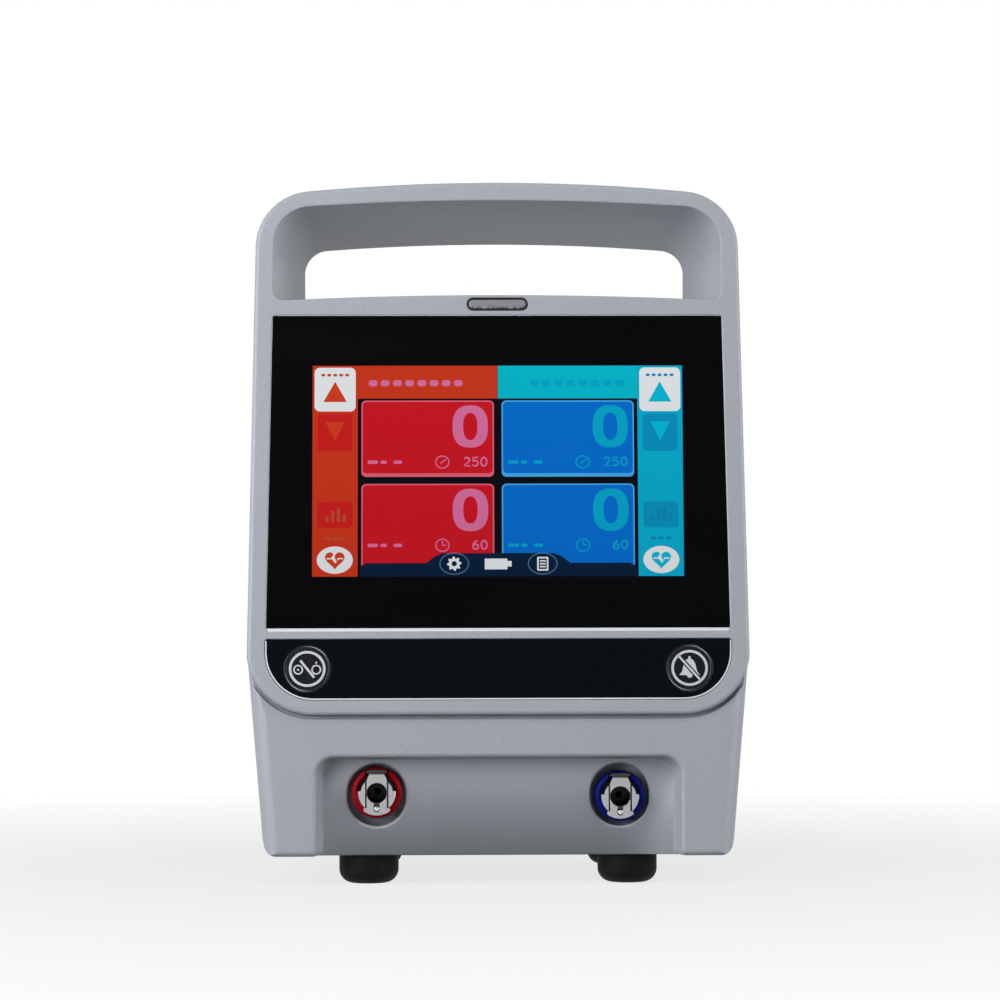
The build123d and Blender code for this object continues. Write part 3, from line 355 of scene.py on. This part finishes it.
def lit(name, colour):
    """A lit field of the display under its glass, a little brighter towards the top."""
    low, high = 125.0 * MM, 215.0 * MM
    made = Surface(name, (0.0, 0.0, 0.0), 0.10)
    made.material.diffuse_color = (*colour[:3], 1.0)
    made.shader.inputs["Specular IOR Level"].default_value = 0.3
    height = made.add("ShaderNodeSeparateXYZ", Vector=made.place).outputs["Z"]
    rise = made.spread(height, 0.0, 1.0, low, high)
    grid = made.spread(made.noise(3200.0, 0.0), -0.03, 0.03)
    level = made.math("ADD", rise, grid)
    made.link("Emission Color", made.ramp(level, (0.0, scaled(colour, 0.92)), (1.0, scaled(colour, 1.06))))
    made.shader.inputs["Emission Strength"].default_value = 1.0
    return made.material


def print_and_highlight_ink(name, colour, roughness=0.4):
    """Screen print, and painted highlight lines: even colour with a slightly rough film edge."""
    made = Surface(name, colour, roughness)
    film = made.noise(2400.0, 2.0)
    made.link("Base Color", made.ramp(film, (0.3, scaled(colour, 0.90)), (0.7, colour)))
    made.bump(film, 0.000006, 0.4)
    return made.material


def painted_rim_glint(name, x, height):
    """Raised rim of a key, with a painted highlight at its upper right and lower left: colour set by
    direction, not a reflection.
    """
    made = Surface(name, (0.01, 0.012, 0.015), 0.35)
    place = made.add("ShaderNodeSeparateXYZ", Vector=made.place)
    # Painted highlight: the rim's colour lightens towards both ends of one direction.
    across = made.math("MULTIPLY", made.math("SUBTRACT", place.outputs["X"], x), PAINTED_GLINT_DIRECTION[0])
    up = made.math("MULTIPLY", made.math("SUBTRACT", place.outputs["Z"], height), PAINTED_GLINT_DIRECTION[1])
    facing = made.math("ABSOLUTE", made.math("DIVIDE", made.math("ADD", across, up), KEY_RIM_RADIUS))
    share = made.math("POWER", facing, 5.0)
    made.link("Base Color", made.ramp(share, (0.1, (0.004, 0.005, 0.007)), (1.0, (0.42, 0.43, 0.45))))
    return made.material


PAINT = silver_paint()
STEEL = metal("zinc_plated_sheet", (0.58, 0.60, 0.62), 0.34, (1.0, 1.0, 12.0))
SCREWS = metal("bright_screw_steel", (0.62, 0.62, 0.63), 0.24, (1.0, 9.0, 1.0), 900.0)
PLATING = metal("bright_plating", (0.74, 0.73, 0.71), 0.16, (1.0, 1.0, 7.0), 700.0, 0.0003)
CASTING = metal("blasted_casting", (0.36, 0.37, 0.38), 0.55, grain=1400.0)
BLACK = plastic("black_moulding", (0.016, 0.016, 0.018), 0.42)
GREY_PLASTIC = plastic("dark_moulding", (0.06, 0.06, 0.065), 0.5)
FOOT = rubber("foot_rubber", (0.0035, 0.0037, 0.0044))
SEAL = rubber("seal_rubber", (0.014, 0.014, 0.015))
TUBING = rubber("silicone_tube", (0.55, 0.55, 0.50))

NODE_FINISHES = {
    PAINT: ("front_bezel", "main_case", "carry_handle", "rear_cover", "battery_door"),
    black_glass(): ("screen_glass",),
    keypad_film("keypad_film", 0.42, 0.03): ("keypad_overlay",),
    keypad_film("key_cap_film", 0.24, 0.60): ("standby_button", "alarm_silence_button"),
    light_lens(): ("alarm_light_lens",),
    SEAL: ("alarm_light_seal", "glass_gasket"),
    STEEL: ("display_bracket", "chassis_plate", "battery_tray", "power_supply"),
    SCREWS: (
        "short_screws", "long_screws", "case_screws", "clamp_bracket_screws", "foot_screws",
        "board_standoffs", "clamp_screw", "earth_stud", "stud_nut", "inlet_pins", "red_latch_spring",
        "blue_latch_spring", "red_pump_crank", "blue_pump_crank",
    ),
    plating_with_painted_shade("red_coupler_plating_and_painted_shade", PORT_HEIGHTS["red"]): ("red_coupler_body", "red_latch_plate"),
    plating_with_painted_shade("blue_coupler_plating_and_painted_shade", PORT_HEIGHTS["blue"]): ("blue_coupler_body", "blue_latch_plate"),
    PLATING: ("red_lock_pin", "blue_lock_pin", "coupler_nuts"),
    anodised("red_collar", (0.25, 0.0006, 0.006)): ("red_coupler_ring",),
    anodised("blue_collar", (0.002, 0.007, 0.14)): ("blue_coupler_ring",),
    circuit_board(): ("alarm_light_board", "keypad_board", "main_board"),
    plastic("display_case", (0.05, 0.06, 0.08), 0.3): ("display_panel",),
    TUBING: ("red_air_tube", "blue_air_tube", "pump_tubes"),
    GREY_PLASTIC: ("valve_manifold", "pump_heads", "pressure_sensors"),
    metal("motor_can", (0.42, 0.43, 0.45), 0.38, (1.0, 1.0, 8.0)): ("pump_motors", "solenoid_valves"),
    plastic("battery_wrap", (0.02, 0.05, 0.20), 0.3): ("battery_pack",),
    BLACK: ("speaker", "mains_inlet", "fuse_drawer", "clamp_knob"),
    plastic("fuse_body", (0.55, 0.58, 0.58), 0.15): ("fuses",),
    CASTING: ("clamp_bracket",),
    plastic("pad_nylon", (0.035, 0.035, 0.038), 0.5): ("clamp_pad",),
    FOOT: ("rubber_feet",),
}

for material, names in NODE_FINISHES.items():
    for name in names:
        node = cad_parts[name]
        node.data.materials.clear()
        node.data.materials.append(material)


# Flat pieces on the leaning face


def face_matrix(depth):
    """From millimetres across and up the leaning face to the model's frame."""
    across = Vector((1.0, 0.0, 0.0))
    up = Vector((0.0, sin(FACE_LEAN), cos(FACE_LEAN)))
    out = Vector((0.0, -cos(FACE_LEAN), sin(FACE_LEAN)))
    foot = Vector((0.0, FACE_FRONT_Y, FACE_FOOT)) - up * FACE_FOOT - out * depth
    turn = Matrix((across * MM, up * MM, out * MM)).transposed().to_4x4()
    return Matrix.Translation(foot) @ turn


def add_plate(mesh, loop, holes, low, high):
    """Thin plate with an outline and holes, in millimetres, added to a bmesh."""
    edges = []
    for ring in (loop, *holes):
        points = [mesh.verts.new((x, y, high)) for x, y in ring]
        for first, second in zip(points, points[1:] + points[:1]):
            edges.append(mesh.edges.new((first, second)))
    filled = bmesh.ops.triangle_fill(mesh, use_beauty=True, use_dissolve=False, edges=edges)
    top = [item for item in filled["geom"] if isinstance(item, bmesh.types.BMFace)]
    bmesh.ops.recalc_face_normals(mesh, faces=top)
    if top and top[0].normal.z < 0:
        bmesh.ops.reverse_faces(mesh, faces=top)
    copied = bmesh.ops.extrude_face_region(mesh, geom=top)
    for item in copied["geom"]:
        if isinstance(item, bmesh.types.BMVert):
            item.co.z = low


def finish_piece(name, mesh, matrix, material, body):
    """Turns a bmesh into a named piece that rides on a body."""
    bmesh.ops.transform(mesh, matrix=matrix, verts=mesh.verts)
    bmesh.ops.recalc_face_normals(mesh, faces=mesh.faces)
    data = bpy.data.meshes.new(name)
    mesh.to_mesh(data)
    mesh.free()
    data.materials.append(material)
    piece = bpy.data.objects.new(name, data)
    scene.collection.objects.link(piece)
    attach(piece, body)
    return piece


def oval(x, y, width, height, count=40, power=2.0):
    """Closed loop of points; a higher power squares the oval off."""
    points = []
    for index in range(count):
        angle = 2 * pi * index / count
        side, rise = cos(angle), sin(angle)
        px = abs(side) ** (2 / power) * (1 if side >= 0 else -1)
        py = abs(rise) ** (2 / power) * (1 if rise >= 0 else -1)
        points.append((x + px * width / 2, y + py * height / 2))
    return points


def rounded(left, right, low, high, radii, steps=6):
    """Rectangle whose corners, from lower left round to upper left, have these radii."""
    if not isinstance(radii, (tuple, list)):
        radii = (radii,) * 4
    corners = ((left, low, 180), (right, low, 270), (right, high, 0), (left, high, 90))
    points = []
    for (x, y, start), radius in zip(corners, radii):
        if radius <= 0:
            points.append((x, y))
            continue
        cx = x + radius if x == left else x - radius
        cy = y + radius if y == low else y - radius
        for step in range(steps + 1):
            angle = radians(start + 90 * step / steps)
            points.append((cx + radius * cos(angle), cy + radius * sin(angle)))
    return points


def bar(start, end, width):
    """Straight stroke between two points."""
    run = Vector(end) - Vector(start)
    side = Vector((-run.y, run.x)).normalized() * width / 2
    a, b = Vector(start), Vector(end)
    return [tuple(a - side), tuple(b - side), tuple(b + side), tuple(a + side)]


def moved(points, x, y):
    """The same outline with its origin put at a place."""
    return [(x + px, y + py) for px, py in points]


def clip_half(points, origin, direction):
    """Part of a closed outline on one side of a line."""
    kept = []
    for first, second in zip(points, points[1:] + points[:1]):
        a = (Vector(first) - origin).dot(direction)
        b = (Vector(second) - origin).dot(direction)
        if a >= 0:
            kept.append(first)
        if a * b < 0:
            share = a / (a - b)
            kept.append(tuple(Vector(first).lerp(Vector(second), share)))
    return kept


# The lit display


COLOURS = {
    "left": {
        "column": (0.50, 0.032, 0.010), "header": (0.49, 0.033, 0.011), "panel": (0.495, 0.0075, 0.0145),
        "edge": (0.62, 0.10, 0.16), "digit": (0.56, 0.135, 0.29), "dim": (0.50, 0.012, 0.012),
        "mark": (0.42, 0.06, 0.03), "arrow": (0.53, 0.040, 0.012),
    },
    "right": {
        "column": (0.0016, 0.342, 0.520), "header": (0.0010, 0.400, 0.510), "panel": (0.0012, 0.130, 0.520),
        "edge": (0.05, 0.33, 0.68), "digit": (0.0013, 0.315, 0.50), "dim": (0.0016, 0.240, 0.430),
        "mark": (0.002, 0.20, 0.40), "arrow": (0.0010, 0.400, 0.560),
    },
}
WHITE = (0.66, 0.68, 0.70)
NAVY = (0.0022, 0.0125, 0.036)


class Screen:
    """Collects the display's flat pieces by colour and layer."""

    def __init__(self):
        self.meshes = {}

    def add(self, key, loop, holes=(), layer=1):
        if key not in self.meshes:
            self.meshes[key] = bmesh.new()
        add_plate(self.meshes[key], loop, holes, 0.004, 0.004 + 0.012 * layer)

    def dashes(self, key, lefts, width, low, high, radius, layer):
        for left in lefts:
            self.add(key, rounded(left, left + width, low, high, radius), layer=layer)

    def build(self, colours):
        matrix = face_matrix(GLASS_DEPTH) @ Matrix.Translation((0.0, DISPLAY_MIDDLE, 0.0))
        for key, mesh in self.meshes.items():
            material = lit("lit_" + key, colours[key])
            finish_piece("display_" + key, mesh, matrix, material, "housing")


def digit_zero(x, y, width, height, stroke):
    """Outline and counter of the large nought."""
    outer = oval(x, y, width, height, 56, 2.5)
    inner = oval(x, y, width - 2 * stroke, height - 1.45 * stroke, 56, 2.3)
    return outer, [inner]


def arc(x, y, rx, ry, start, end, count):
    """Points along part of an ellipse, from one angle in degrees to another."""
    points = []
    for index in range(count + 1):
        angle = radians(start + (end - start) * index / count)
        points.append((x + rx * cos(angle), y + ry * sin(angle)))
    return points


def stroke_band(points, width):
    """Outline of a line of even width along points."""
    left, right = [], []
    for index, point in enumerate(points):
        before = Vector(points[max(index - 1, 0)])
        after = Vector(points[min(index + 1, len(points) - 1)])
        run = (after - before).normalized()
        side = Vector((-run.y, run.x)) * width / 2
        left.append(tuple(Vector(point) + side))
        right.append(tuple(Vector(point) - side))
    return left + right[::-1]


def digit_lines(value):
    """Strokes of a small numeral in a box one unit high and 0.72 wide."""
    if value == "0":
        return [arc(0.36, 0.5, 0.29, 0.43, 0, 360, 28)]
    if value == "2":
        return [arc(0.34, 0.68, 0.27, 0.25, 160, -35, 14) + [(0.07, 0.07), (0.68, 0.07)]]
    if value == "5":
        return [[(0.62, 0.93), (0.14, 0.93), (0.12, 0.52)] + arc(0.32, 0.34, 0.30, 0.27, 115, -150, 16)]
    if value == "6":
        return [arc(0.36, 0.32, 0.27, 0.25, 0, 360, 24), arc(0.62, 0.32, 0.53, 0.60, 180, 100, 10)]
    return []


def write_number(screen, key, text, right, low, height):
    """Plain numerals set to end at the right."""
    step = 0.86 * height
    for place, value in enumerate(reversed(text)):
        left = right - step * (place + 1) + 0.1 * height
        for line in digit_lines(value):
            points = [(left + px * height, low + py * height) for px, py in line]
            screen.add(key, stroke_band(points, 0.17 * height), layer=3)


def dial_icon(screen, key, x, y, hands):
    """Round dial with its hands."""
    ring = oval(x, y, 6.0, 5.6, 32)
    screen.add(key, ring, [oval(x, y, 5.0, 4.6, 32)], 3)
    for end in hands:
        screen.add(key, bar((x, y), (x + end[0], y + end[1]), 0.5), layer=3)


def heart(x, y, size):
    """Outline of the heart on the sensing button."""
    points = []
    for index in range(40):
        t = 2 * pi * index / 40
        px = 16 * sin(t) ** 3
        py = 13 * cos(t) - 5 * cos(2 * t) - 2 * cos(3 * t) - cos(4 * t)
        points.append((x + px * size / 32, y + py * size / 32))
    return points


def span(sign, near, far):
    """Left and right limit of what lies between two distances from the middle, on one side."""
    return tuple(sorted((sign * near, sign * far)))


def control_column(screen, side_name, sign):
    """Outer column of buttons: up, down, bars and heart."""
    column = span(sign, COLUMN_START, DISPLAY_HALF)
    screen.add(side_name + "_column", rounded(*column, -DISPLAY_RISE, DISPLAY_RISE, 0))
    middle = sign * COLUMN_MIDDLE
    screen.add("white", rounded(middle - 8.6, middle + 8.6, 25.0, 43.5, 2.2), layer=2)
    arrow_up = [(middle - 4.9, 29.0), (middle + 4.9, 29.0), (middle, 37.6)]
    screen.add(side_name + "_arrow", arrow_up, layer=3)
    dots = [middle - 5.8 + 2.5 * index for index in range(5)]
    screen.dashes(side_name + "_mark", dots, 1.6, 39.8, 40.9, 0.3, 3)
    screen.add(side_name + "_dim", rounded(middle - 7.3, middle + 7.3, 8.2, 24.0, 1.6), layer=2)
    arrow_down = [(middle - 4.0, 20.6), (middle, 12.6), (middle + 4.0, 20.6)]
    screen.add(side_name + "_arrow", arrow_down, layer=3)
    screen.add(side_name + "_dim", rounded(middle - 7.3, middle + 7.3, -24.0, -13.0, 1.6), layer=2)
    for offset, height in ((-4.0, 2.2), (-1.6, 4.6), (0.8, 6.0), (3.2, 3.2)):
        column_bar = rounded(middle + offset, middle + offset + 1.4, -21.4, -21.4 + height, 0.2)
        screen.add(side_name + "_mark", column_bar, layer=3)
    under_bars = [middle - 4.3 + 3.2 * index for index in range(3)]
    screen.dashes(side_name + "_mark", under_bars, 2.2, -29.0, -27.8, 0.4, 3)
    screen.add("white", oval(middle, -37.4, 15.0, 11.4), layer=2)
    screen.add(side_name + "_arrow", heart(middle, -37.2, 8.2), layer=3)
    pulse = [(-3.4, 0.0), (-1.4, 0.0), (-0.6, 1.7), (0.5, -1.8), (1.3, 0.0), (3.4, 0.0)]
    screen.add("white", stroke_band(moved(pulse, middle, -36.8), 0.55), layer=4)


def header_strip(screen, side_name, sign):
    """Strip along the top, with a row of dashes."""
    header = span(sign, 0.1, COLUMN_START)
    screen.add(side_name + "_header", rounded(*header, 30.4, DISPLAY_RISE, 0))
    row_left = -54.0 if sign < 0 else 13.5
    row = [row_left + 5.1 * index for index in range(8)]
    screen.dashes(side_name + "_digit", row, 3.7, 35.6, 38.2, 1.2, 2)


def value_panels(screen, side_name, sign):
    """Upper and lower panel: a large nought, a small number with its dial, and dashes."""
    panel = span(sign, 1.6, 57.0)
    for low, high, number in ((-2.6, 29.6, "250"), (-42.2, -5.5, "60")):
        screen.add(side_name + "_edge", rounded(*panel, low, high, 2.0), layer=1)
        inner = rounded(panel[0] + 0.6, panel[1] - 0.6, low + 1.5, high - 0.6, 1.6)
        screen.add(side_name + "_panel", inner, layer=2)
        digit_y = high - 11.0
        outer, holes = digit_zero(panel[1] - 9.9, digit_y, 14.8, 17.8, 4.4)
        screen.add(side_name + "_digit", outer, holes, 3)
        number_low = 1.7 if number == "250" else -33.2
        write_number(screen, side_name + "_digit", number, panel[1] - 2.6, number_low, 4.1)
        dash_left = panel[0] + 2.6
        for index, length in enumerate((4.4, 2.6, 3.6)):
            left = dash_left + index * 5.4
            dash = rounded(left, left + length, number_low + 1.2, number_low + 2.6, 0.6)
            screen.add(side_name + "_digit", dash, layer=3)
        hands = ((0.0, 1.9), (1.6, 0.0)) if number == "60" else ((1.5, 1.2), (-0.8, -0.6))
        dial_icon(screen, side_name + "_digit", panel[1] - 21.6, number_low + 1.9, hands)


def half_display(screen, side_name, sign):
    """One channel's half of the display."""
    control_column(screen, side_name, sign)
    header_strip(screen, side_name, sign)
    value_panels(screen, side_name, sign)


def bottom_bar(screen):
    """Dark bar along the bottom with settings, battery and list buttons."""
    low, shelf, top = -DISPLAY_RISE, -38.7, -34.6
    gear_x, button_y = -18.3, -39.0
    points = [(-57.5, low), (57.5, low), (57.5, -40.0), (55.0, shelf), (30.0, shelf), (26.5, -36.0)]
    points += [(23.0, top), (-23.0, top), (-26.5, -36.0), (-30.0, shelf), (-55.0, shelf), (-57.5, -40.0)]
    screen.add("bar", points, layer=3)
    for x in (gear_x, 18.5):
        screen.add("bar_rim", oval(x, button_y, 12.4, 9.2), [oval(x, button_y, 11.5, 8.3)], 4)
    gear = []
    for index in range(32):
        radius = 3.0 if index % 4 in (0, 1) else 2.25
        angle = 2 * pi * index / 32
        gear.append((gear_x + radius * cos(angle), button_y + radius * sin(angle)))
    screen.add("white", gear, [oval(gear_x, button_y, 2.2, 2.2, 20)], 4)
    battery = [(-5.6, -41.4), (3.8, -41.4), (3.8, -40.2), (5.6, -40.2), (5.6, -37.9), (3.8, -37.9)]
    battery += [(3.8, -36.9), (-5.6, -36.9)]
    screen.add("white", battery, layer=4)
    page = rounded(16.2, 20.9, -42.0, -36.2, 0.5)
    screen.add("white", page, [rounded(16.9, 20.2, -41.3, -36.9, 0.2)], 4)
    for y in (-37.9, -39.1, -40.3):
        screen.add("white", rounded(17.3, 19.8, y - 0.3, y + 0.3, 0.1), layer=4)


def make_display():
    """The whole picture that the display shows, one piece for each colour."""
    screen = Screen()
    half, rise = DISPLAY_HALF + 0.1, DISPLAY_RISE + 0.1
    screen.add("ground", rounded(-half, half, -rise, rise, 0), layer=0.5)
    half_display(screen, "left", -1)
    half_display(screen, "right", 1)
    bottom_bar(screen)
    colours = {"white": WHITE, "bar": NAVY, "ground": (0.003, 0.0035, 0.006), "bar_rim": (0.05, 0.14, 0.26)}
    for side_name, palette in COLOURS.items():
        for part_name, colour in palette.items():
            colours[side_name + "_" + part_name] = colour
    screen.build(colours)


# Marks on the two keys


INK = print_and_highlight_ink("white_ink", (0.62, 0.64, 0.66))


def key_marks(key_body, x, shapes):
    """White sign in its ring on a key's cap, and the raised rim round the key with its painted highlight."""
    mesh = bmesh.new()
    add_plate(mesh, oval(0, 0, 15.2, 14.9, 72), [oval(0, 0, 13.1, 12.8, 72)], -0.02, 0.02)
    for loop, holes in shapes:
        add_plate(mesh, loop, holes, -0.02, 0.02)
    matrix = face_matrix(KEY_CAP_DEPTH) @ Matrix.Translation((x, KEY_HEIGHT, 0.0))
    finish_piece(key_body + "_mark", mesh, matrix, INK, key_body)
    rim = bmesh.new()
    wide = 2 * KEY_RIM_RADIUS / MM
    outer = oval(0, 0, wide + 0.3, wide + 0.3, 96)
    inner = oval(0, 0, wide - 0.3, wide - 0.3, 96)
    add_plate(rim, outer, [inner], -0.02, 0.03)
    matrix = face_matrix(KEY_RIM_DEPTH) @ Matrix.Translation((x, KEY_HEIGHT, 0.0))
    painted_glint = painted_rim_glint(key_body + "_rim", matrix.translation.x, matrix.translation.z)
    finish_piece(key_body + "_rim", rim, matrix, painted_glint, key_body)


def make_key_marks():
    """Standby sign on the left key, and a bell with a slash on the right one."""
    standby = [
        (oval(-3.75, -0.35, 4.1, 4.1, 36), [oval(-3.75, -0.35, 2.9, 2.9, 36)]),
        (oval(-3.75, -0.35, 0.9, 0.9, 16), []),
        (oval(3.75, -0.35, 4.1, 4.1, 36), [oval(3.75, -0.35, 2.9, 2.9, 36)]),
        (oval(3.75, 2.55, 0.8, 0.8, 16), []),
        (bar((-2.9, 3.5), (2.9, -3.6), 0.95), []),
    ]
    key_marks("standby_key", -KEY_X, standby)
    bell = [(-4.3, -3.0), (-3.1, -1.4), (-2.4, 1.7), (-1.4, 3.4), (-0.5, 3.9), (-0.4, 4.9), (0.4, 4.9)]
    bell += [(0.5, 3.9), (1.4, 3.4), (2.4, 1.7), (3.1, -1.4), (4.3, -3.0), (1.3, -3.0), (0.7, -4.0)]
    bell += [(-0.7, -4.0), (-1.3, -3.0)]
    slash_start, slash_end = Vector((-4.7, 5.2)), Vector((4.7, -5.3))
    run = (slash_end - slash_start).normalized()
    across = Vector((-run.y, run.x))
    gap = 0.95
    silenced = [(bar(slash_start, slash_end, 0.85), [])]
    for sign in (1, -1):
        half = clip_half(bell, slash_start + across * gap * sign, across * sign)
        silenced.append((half, []))
    key_marks("alarm_silence_key", KEY_X, silenced)


# Painted highlights: thin bright lines where the edges round the glass and the keypad catch light


def painted_highlight_line(name, outer, holes, depth, material):
    """Thin painted highlight line that ends at a depth below the face."""
    mesh = bmesh.new()
    add_plate(mesh, outer, holes, -0.05, 0.0)
    finish_piece(name, mesh, face_matrix(depth), material, "housing")


def glass_loop(grow):
    """Outline of the glass, grown on every side."""
    low_half, high_half = GLASS_LOW_HALF + grow, GLASS_HIGH_HALF + grow
    low, high = GLASS_LOW - grow, GLASS_HIGH + grow
    return [(-low_half, low), (low_half, low), (high_half, high), (-high_half, high)]


def pad_rim(grow):
    """Left, lower and right side of the keypad's outline, from top to top."""
    half = KEYPAD_HALF + grow
    corner = KEYPAD_CORNER + grow
    arcs = rounded(-half, half, KEYPAD_LOW - grow, KEYPAD_HIGH, (corner, corner, 0, 0), 16)[:-2]
    return [(-half, KEYPAD_HIGH), *arcs, (half, KEYPAD_HIGH)]


def make_painted_edge_highlights():
    """Painted highlights: a bright line round the glass, one round the keypad, and one on the ledge under
    the glass.
    """
    # Painted highlight: edges that catch light, drawn as bright lines of ink.
    bright = print_and_highlight_ink("painted_edge_highlight", (0.80, 0.82, 0.84), 0.3)
    painted_highlight_line("glass_edge_painted_highlight", glass_loop(0.34), [glass_loop(0.06)], 0.35 * MM, bright)
    outline = pad_rim(-0.05) + pad_rim(-0.60)[::-1]
    painted_highlight_line("keypad_edge_painted_highlight", outline, [], 0.15 * MM, bright)
    ledge = [(-95.4, 105.65), (95.4, 105.65), (96.2, 106.75), (-96.2, 106.75)]
    painted_highlight_line("glass_ledge_painted_highlight", ledge, [], -0.02 * MM, bright)


# Latch springs, copied from their solids


def make_latch_springs():
    """Copies of the springs' solids, with doubled points merged, in place of the hidden solids."""
    for colour in PORT_HEIGHTS:
        node = colour + "_latch_spring"
        mesh = bmesh.new()
        mesh.from_mesh(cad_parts[node].data)
        bmesh.ops.remove_doubles(mesh, verts=mesh.verts, dist=0.001 * MM)
        piece = finish_piece(colour + "_spring_coil", mesh, Matrix(), SCREWS, "housing")
        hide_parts(node)
        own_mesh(piece)


# Studio


def seen_directly(made):
    """One for rays from the camera, also by way of a mirror or glass, and nought for the light."""
    path = made.add("ShaderNodeLightPath")
    seen = made.math("MAXIMUM", path.outputs["Is Camera Ray"], path.outputs["Is Glossy Ray"])
    return made.math("MAXIMUM", seen, path.outputs["Is Transmission Ray"])


def floor_material():
    """Pale floor: a soft shadow near the object, white further out, and little light thrown back."""
    made = Surface("pale_floor", (0.50, 0.50, 0.50), 0.9)
    distance = made.add("ShaderNodeVectorMath", Vector=made.place)
    distance.operation = "LENGTH"
    grey = made.spread(made.noise(3.0, 2.0), 0.49, 0.51)
    away = distance.outputs["Value"]
    bounce = made.spread(away, FLOOR_BOUNCE_NEAR, FLOOR_BOUNCE_FAR, *FLOOR_BOUNCE_REACH)
    diffuse = made.add("ShaderNodeLightPath").outputs["Is Diffuse Ray"]
    share = made.math("SUBTRACT", 1.0, diffuse)
    seen = made.math("ADD", made.math("MULTIPLY", grey, share), made.math("MULTIPLY", bounce, diffuse))
    made.link("Base Color", made.ramp(seen, (0.0, (0.0, 0.0, 0.0)), (1.0, (1.0, 1.0, 1.0))))
    white_share = made.spread(away, FLOOR_WHITE_NEAR, 1.0, *FLOOR_WHITE_REACH)
    white = made.add("ShaderNodeEmission")
    white.inputs["Color"].default_value = (1.0, 1.0, 1.0, 1.0)
    white.inputs["Strength"].default_value = 1.0
    mix = made.add("ShaderNodeMixShader", Fac=made.math("MULTIPLY", seen_directly(made), white_share))
    made.tree.links.new(made.shader.outputs["BSDF"], mix.inputs[1])
    made.tree.links.new(white.outputs["Emission"], mix.inputs[2])
    output = made.tree.nodes["Material Output"]
    made.tree.links.new(mix.outputs["Shader"], output.inputs["Surface"])
    return made.material


def make_floor():
    half = FLOOR_HALF
    data = bpy.data.meshes.new("studio_floor")
    corners = [(-half, -half, 0), (half, -half, 0), (half, half, 0), (-half, half, 0)]
    data.from_pydata(corners, [], [(0, 1, 2, 3)])
    data.materials.append(floor_material())
    floor = bpy.data.objects.new("studio_floor", data)
    scene.collection.objects.link(floor)


def make_world():
    """White to the camera; as a reflection white behind the object and darker in front; dim as a lamp."""
    world = bpy.data.worlds.new("studio")
    world.use_nodes = True
    tree = world.node_tree
    shade = tree.nodes["Background"]
    place = tree.nodes.new("ShaderNodeTexCoord")
    split = tree.nodes.new("ShaderNodeSeparateXYZ")
    ramp = tree.nodes.new("ShaderNodeValToRGB")
    ramp.color_ramp.elements[0].position = 0.18
    ramp.color_ramp.elements[0].color = (0.06, 0.06, 0.065, 1.0)
    ramp.color_ramp.elements[1].position = 0.62
    ramp.color_ramp.elements[1].color = (1.0, 1.0, 1.0, 1.0)
    shift = tree.nodes.new("ShaderNodeMapRange")
    shift.inputs["From Min"].default_value = -1.0
    tree.links.new(place.outputs["Generated"], split.inputs["Vector"])
    tree.links.new(split.outputs["Y"], shift.inputs["Value"])
    tree.links.new(shift.outputs["Result"], ramp.inputs["Fac"])
    tree.links.new(ramp.outputs["Color"], shade.inputs["Color"])
    path = tree.nodes.new("ShaderNodeLightPath")
    level = tree.nodes.new("ShaderNodeMapRange")
    level.inputs["To Min"].default_value = 1.0
    level.inputs["To Max"].default_value = WORLD_AS_LAMP
    tree.links.new(path.outputs["Is Diffuse Ray"], level.inputs["Value"])
    tree.links.new(level.outputs["Result"], shade.inputs["Strength"])
    white = tree.nodes.new("ShaderNodeBackground")
    white.inputs["Color"].default_value = (1.0, 1.0, 1.0, 1.0)
    mix = tree.nodes.new("ShaderNodeMixShader")
    tree.links.new(path.outputs["Is Camera Ray"], mix.inputs["Fac"])
    tree.links.new(shade.outputs["Background"], mix.inputs[1])
    tree.links.new(white.outputs["Background"], mix.inputs[2])
    tree.links.new(mix.outputs["Shader"], tree.nodes["World Output"].inputs["Surface"])
    scene.world = world


def make_lamps():
    """White softboxes, all turned to the same point of the object."""
    for name, (place, size, power) in LAMPS.items():
        lamp = bpy.data.lights.new(name, "AREA")
        lamp.shape = "RECTANGLE"
        lamp.size, lamp.size_y = size
        lamp.energy = power
        holder = bpy.data.objects.new(name, lamp)
        holder.location = place
        towards = Vector(LAMP_AIM) - Vector(place)
        holder.rotation_euler = towards.to_track_quat("-Z", "Y").to_euler()
        scene.collection.objects.link(holder)


def make_camera():
    """Camera a little to the left of the object's middle, looking slightly up."""
    lens = bpy.data.cameras.new("camera")
    lens.lens = CAMERA_LENS
    lens.sensor_width = 36.0
    lens.sensor_fit = "HORIZONTAL"
    holder = bpy.data.objects.new("camera", lens)
    holder.location = CAMERA_PLACE
    aim = Euler((pi / 2 + CAMERA_PITCH, 0.0, -CAMERA_YAW), "XYZ").to_matrix()
    holder.rotation_euler = (aim @ Matrix.Rotation(CAMERA_ROLL, 3, "Z")).to_euler()
    scene.collection.objects.link(holder)
    scene.camera = holder


scene.view_settings.view_transform = "Standard"
make_camera()
make_world()
make_lamps()
make_floor()
make_display()
make_key_marks()
make_painted_edge_highlights()
make_latch_springs()
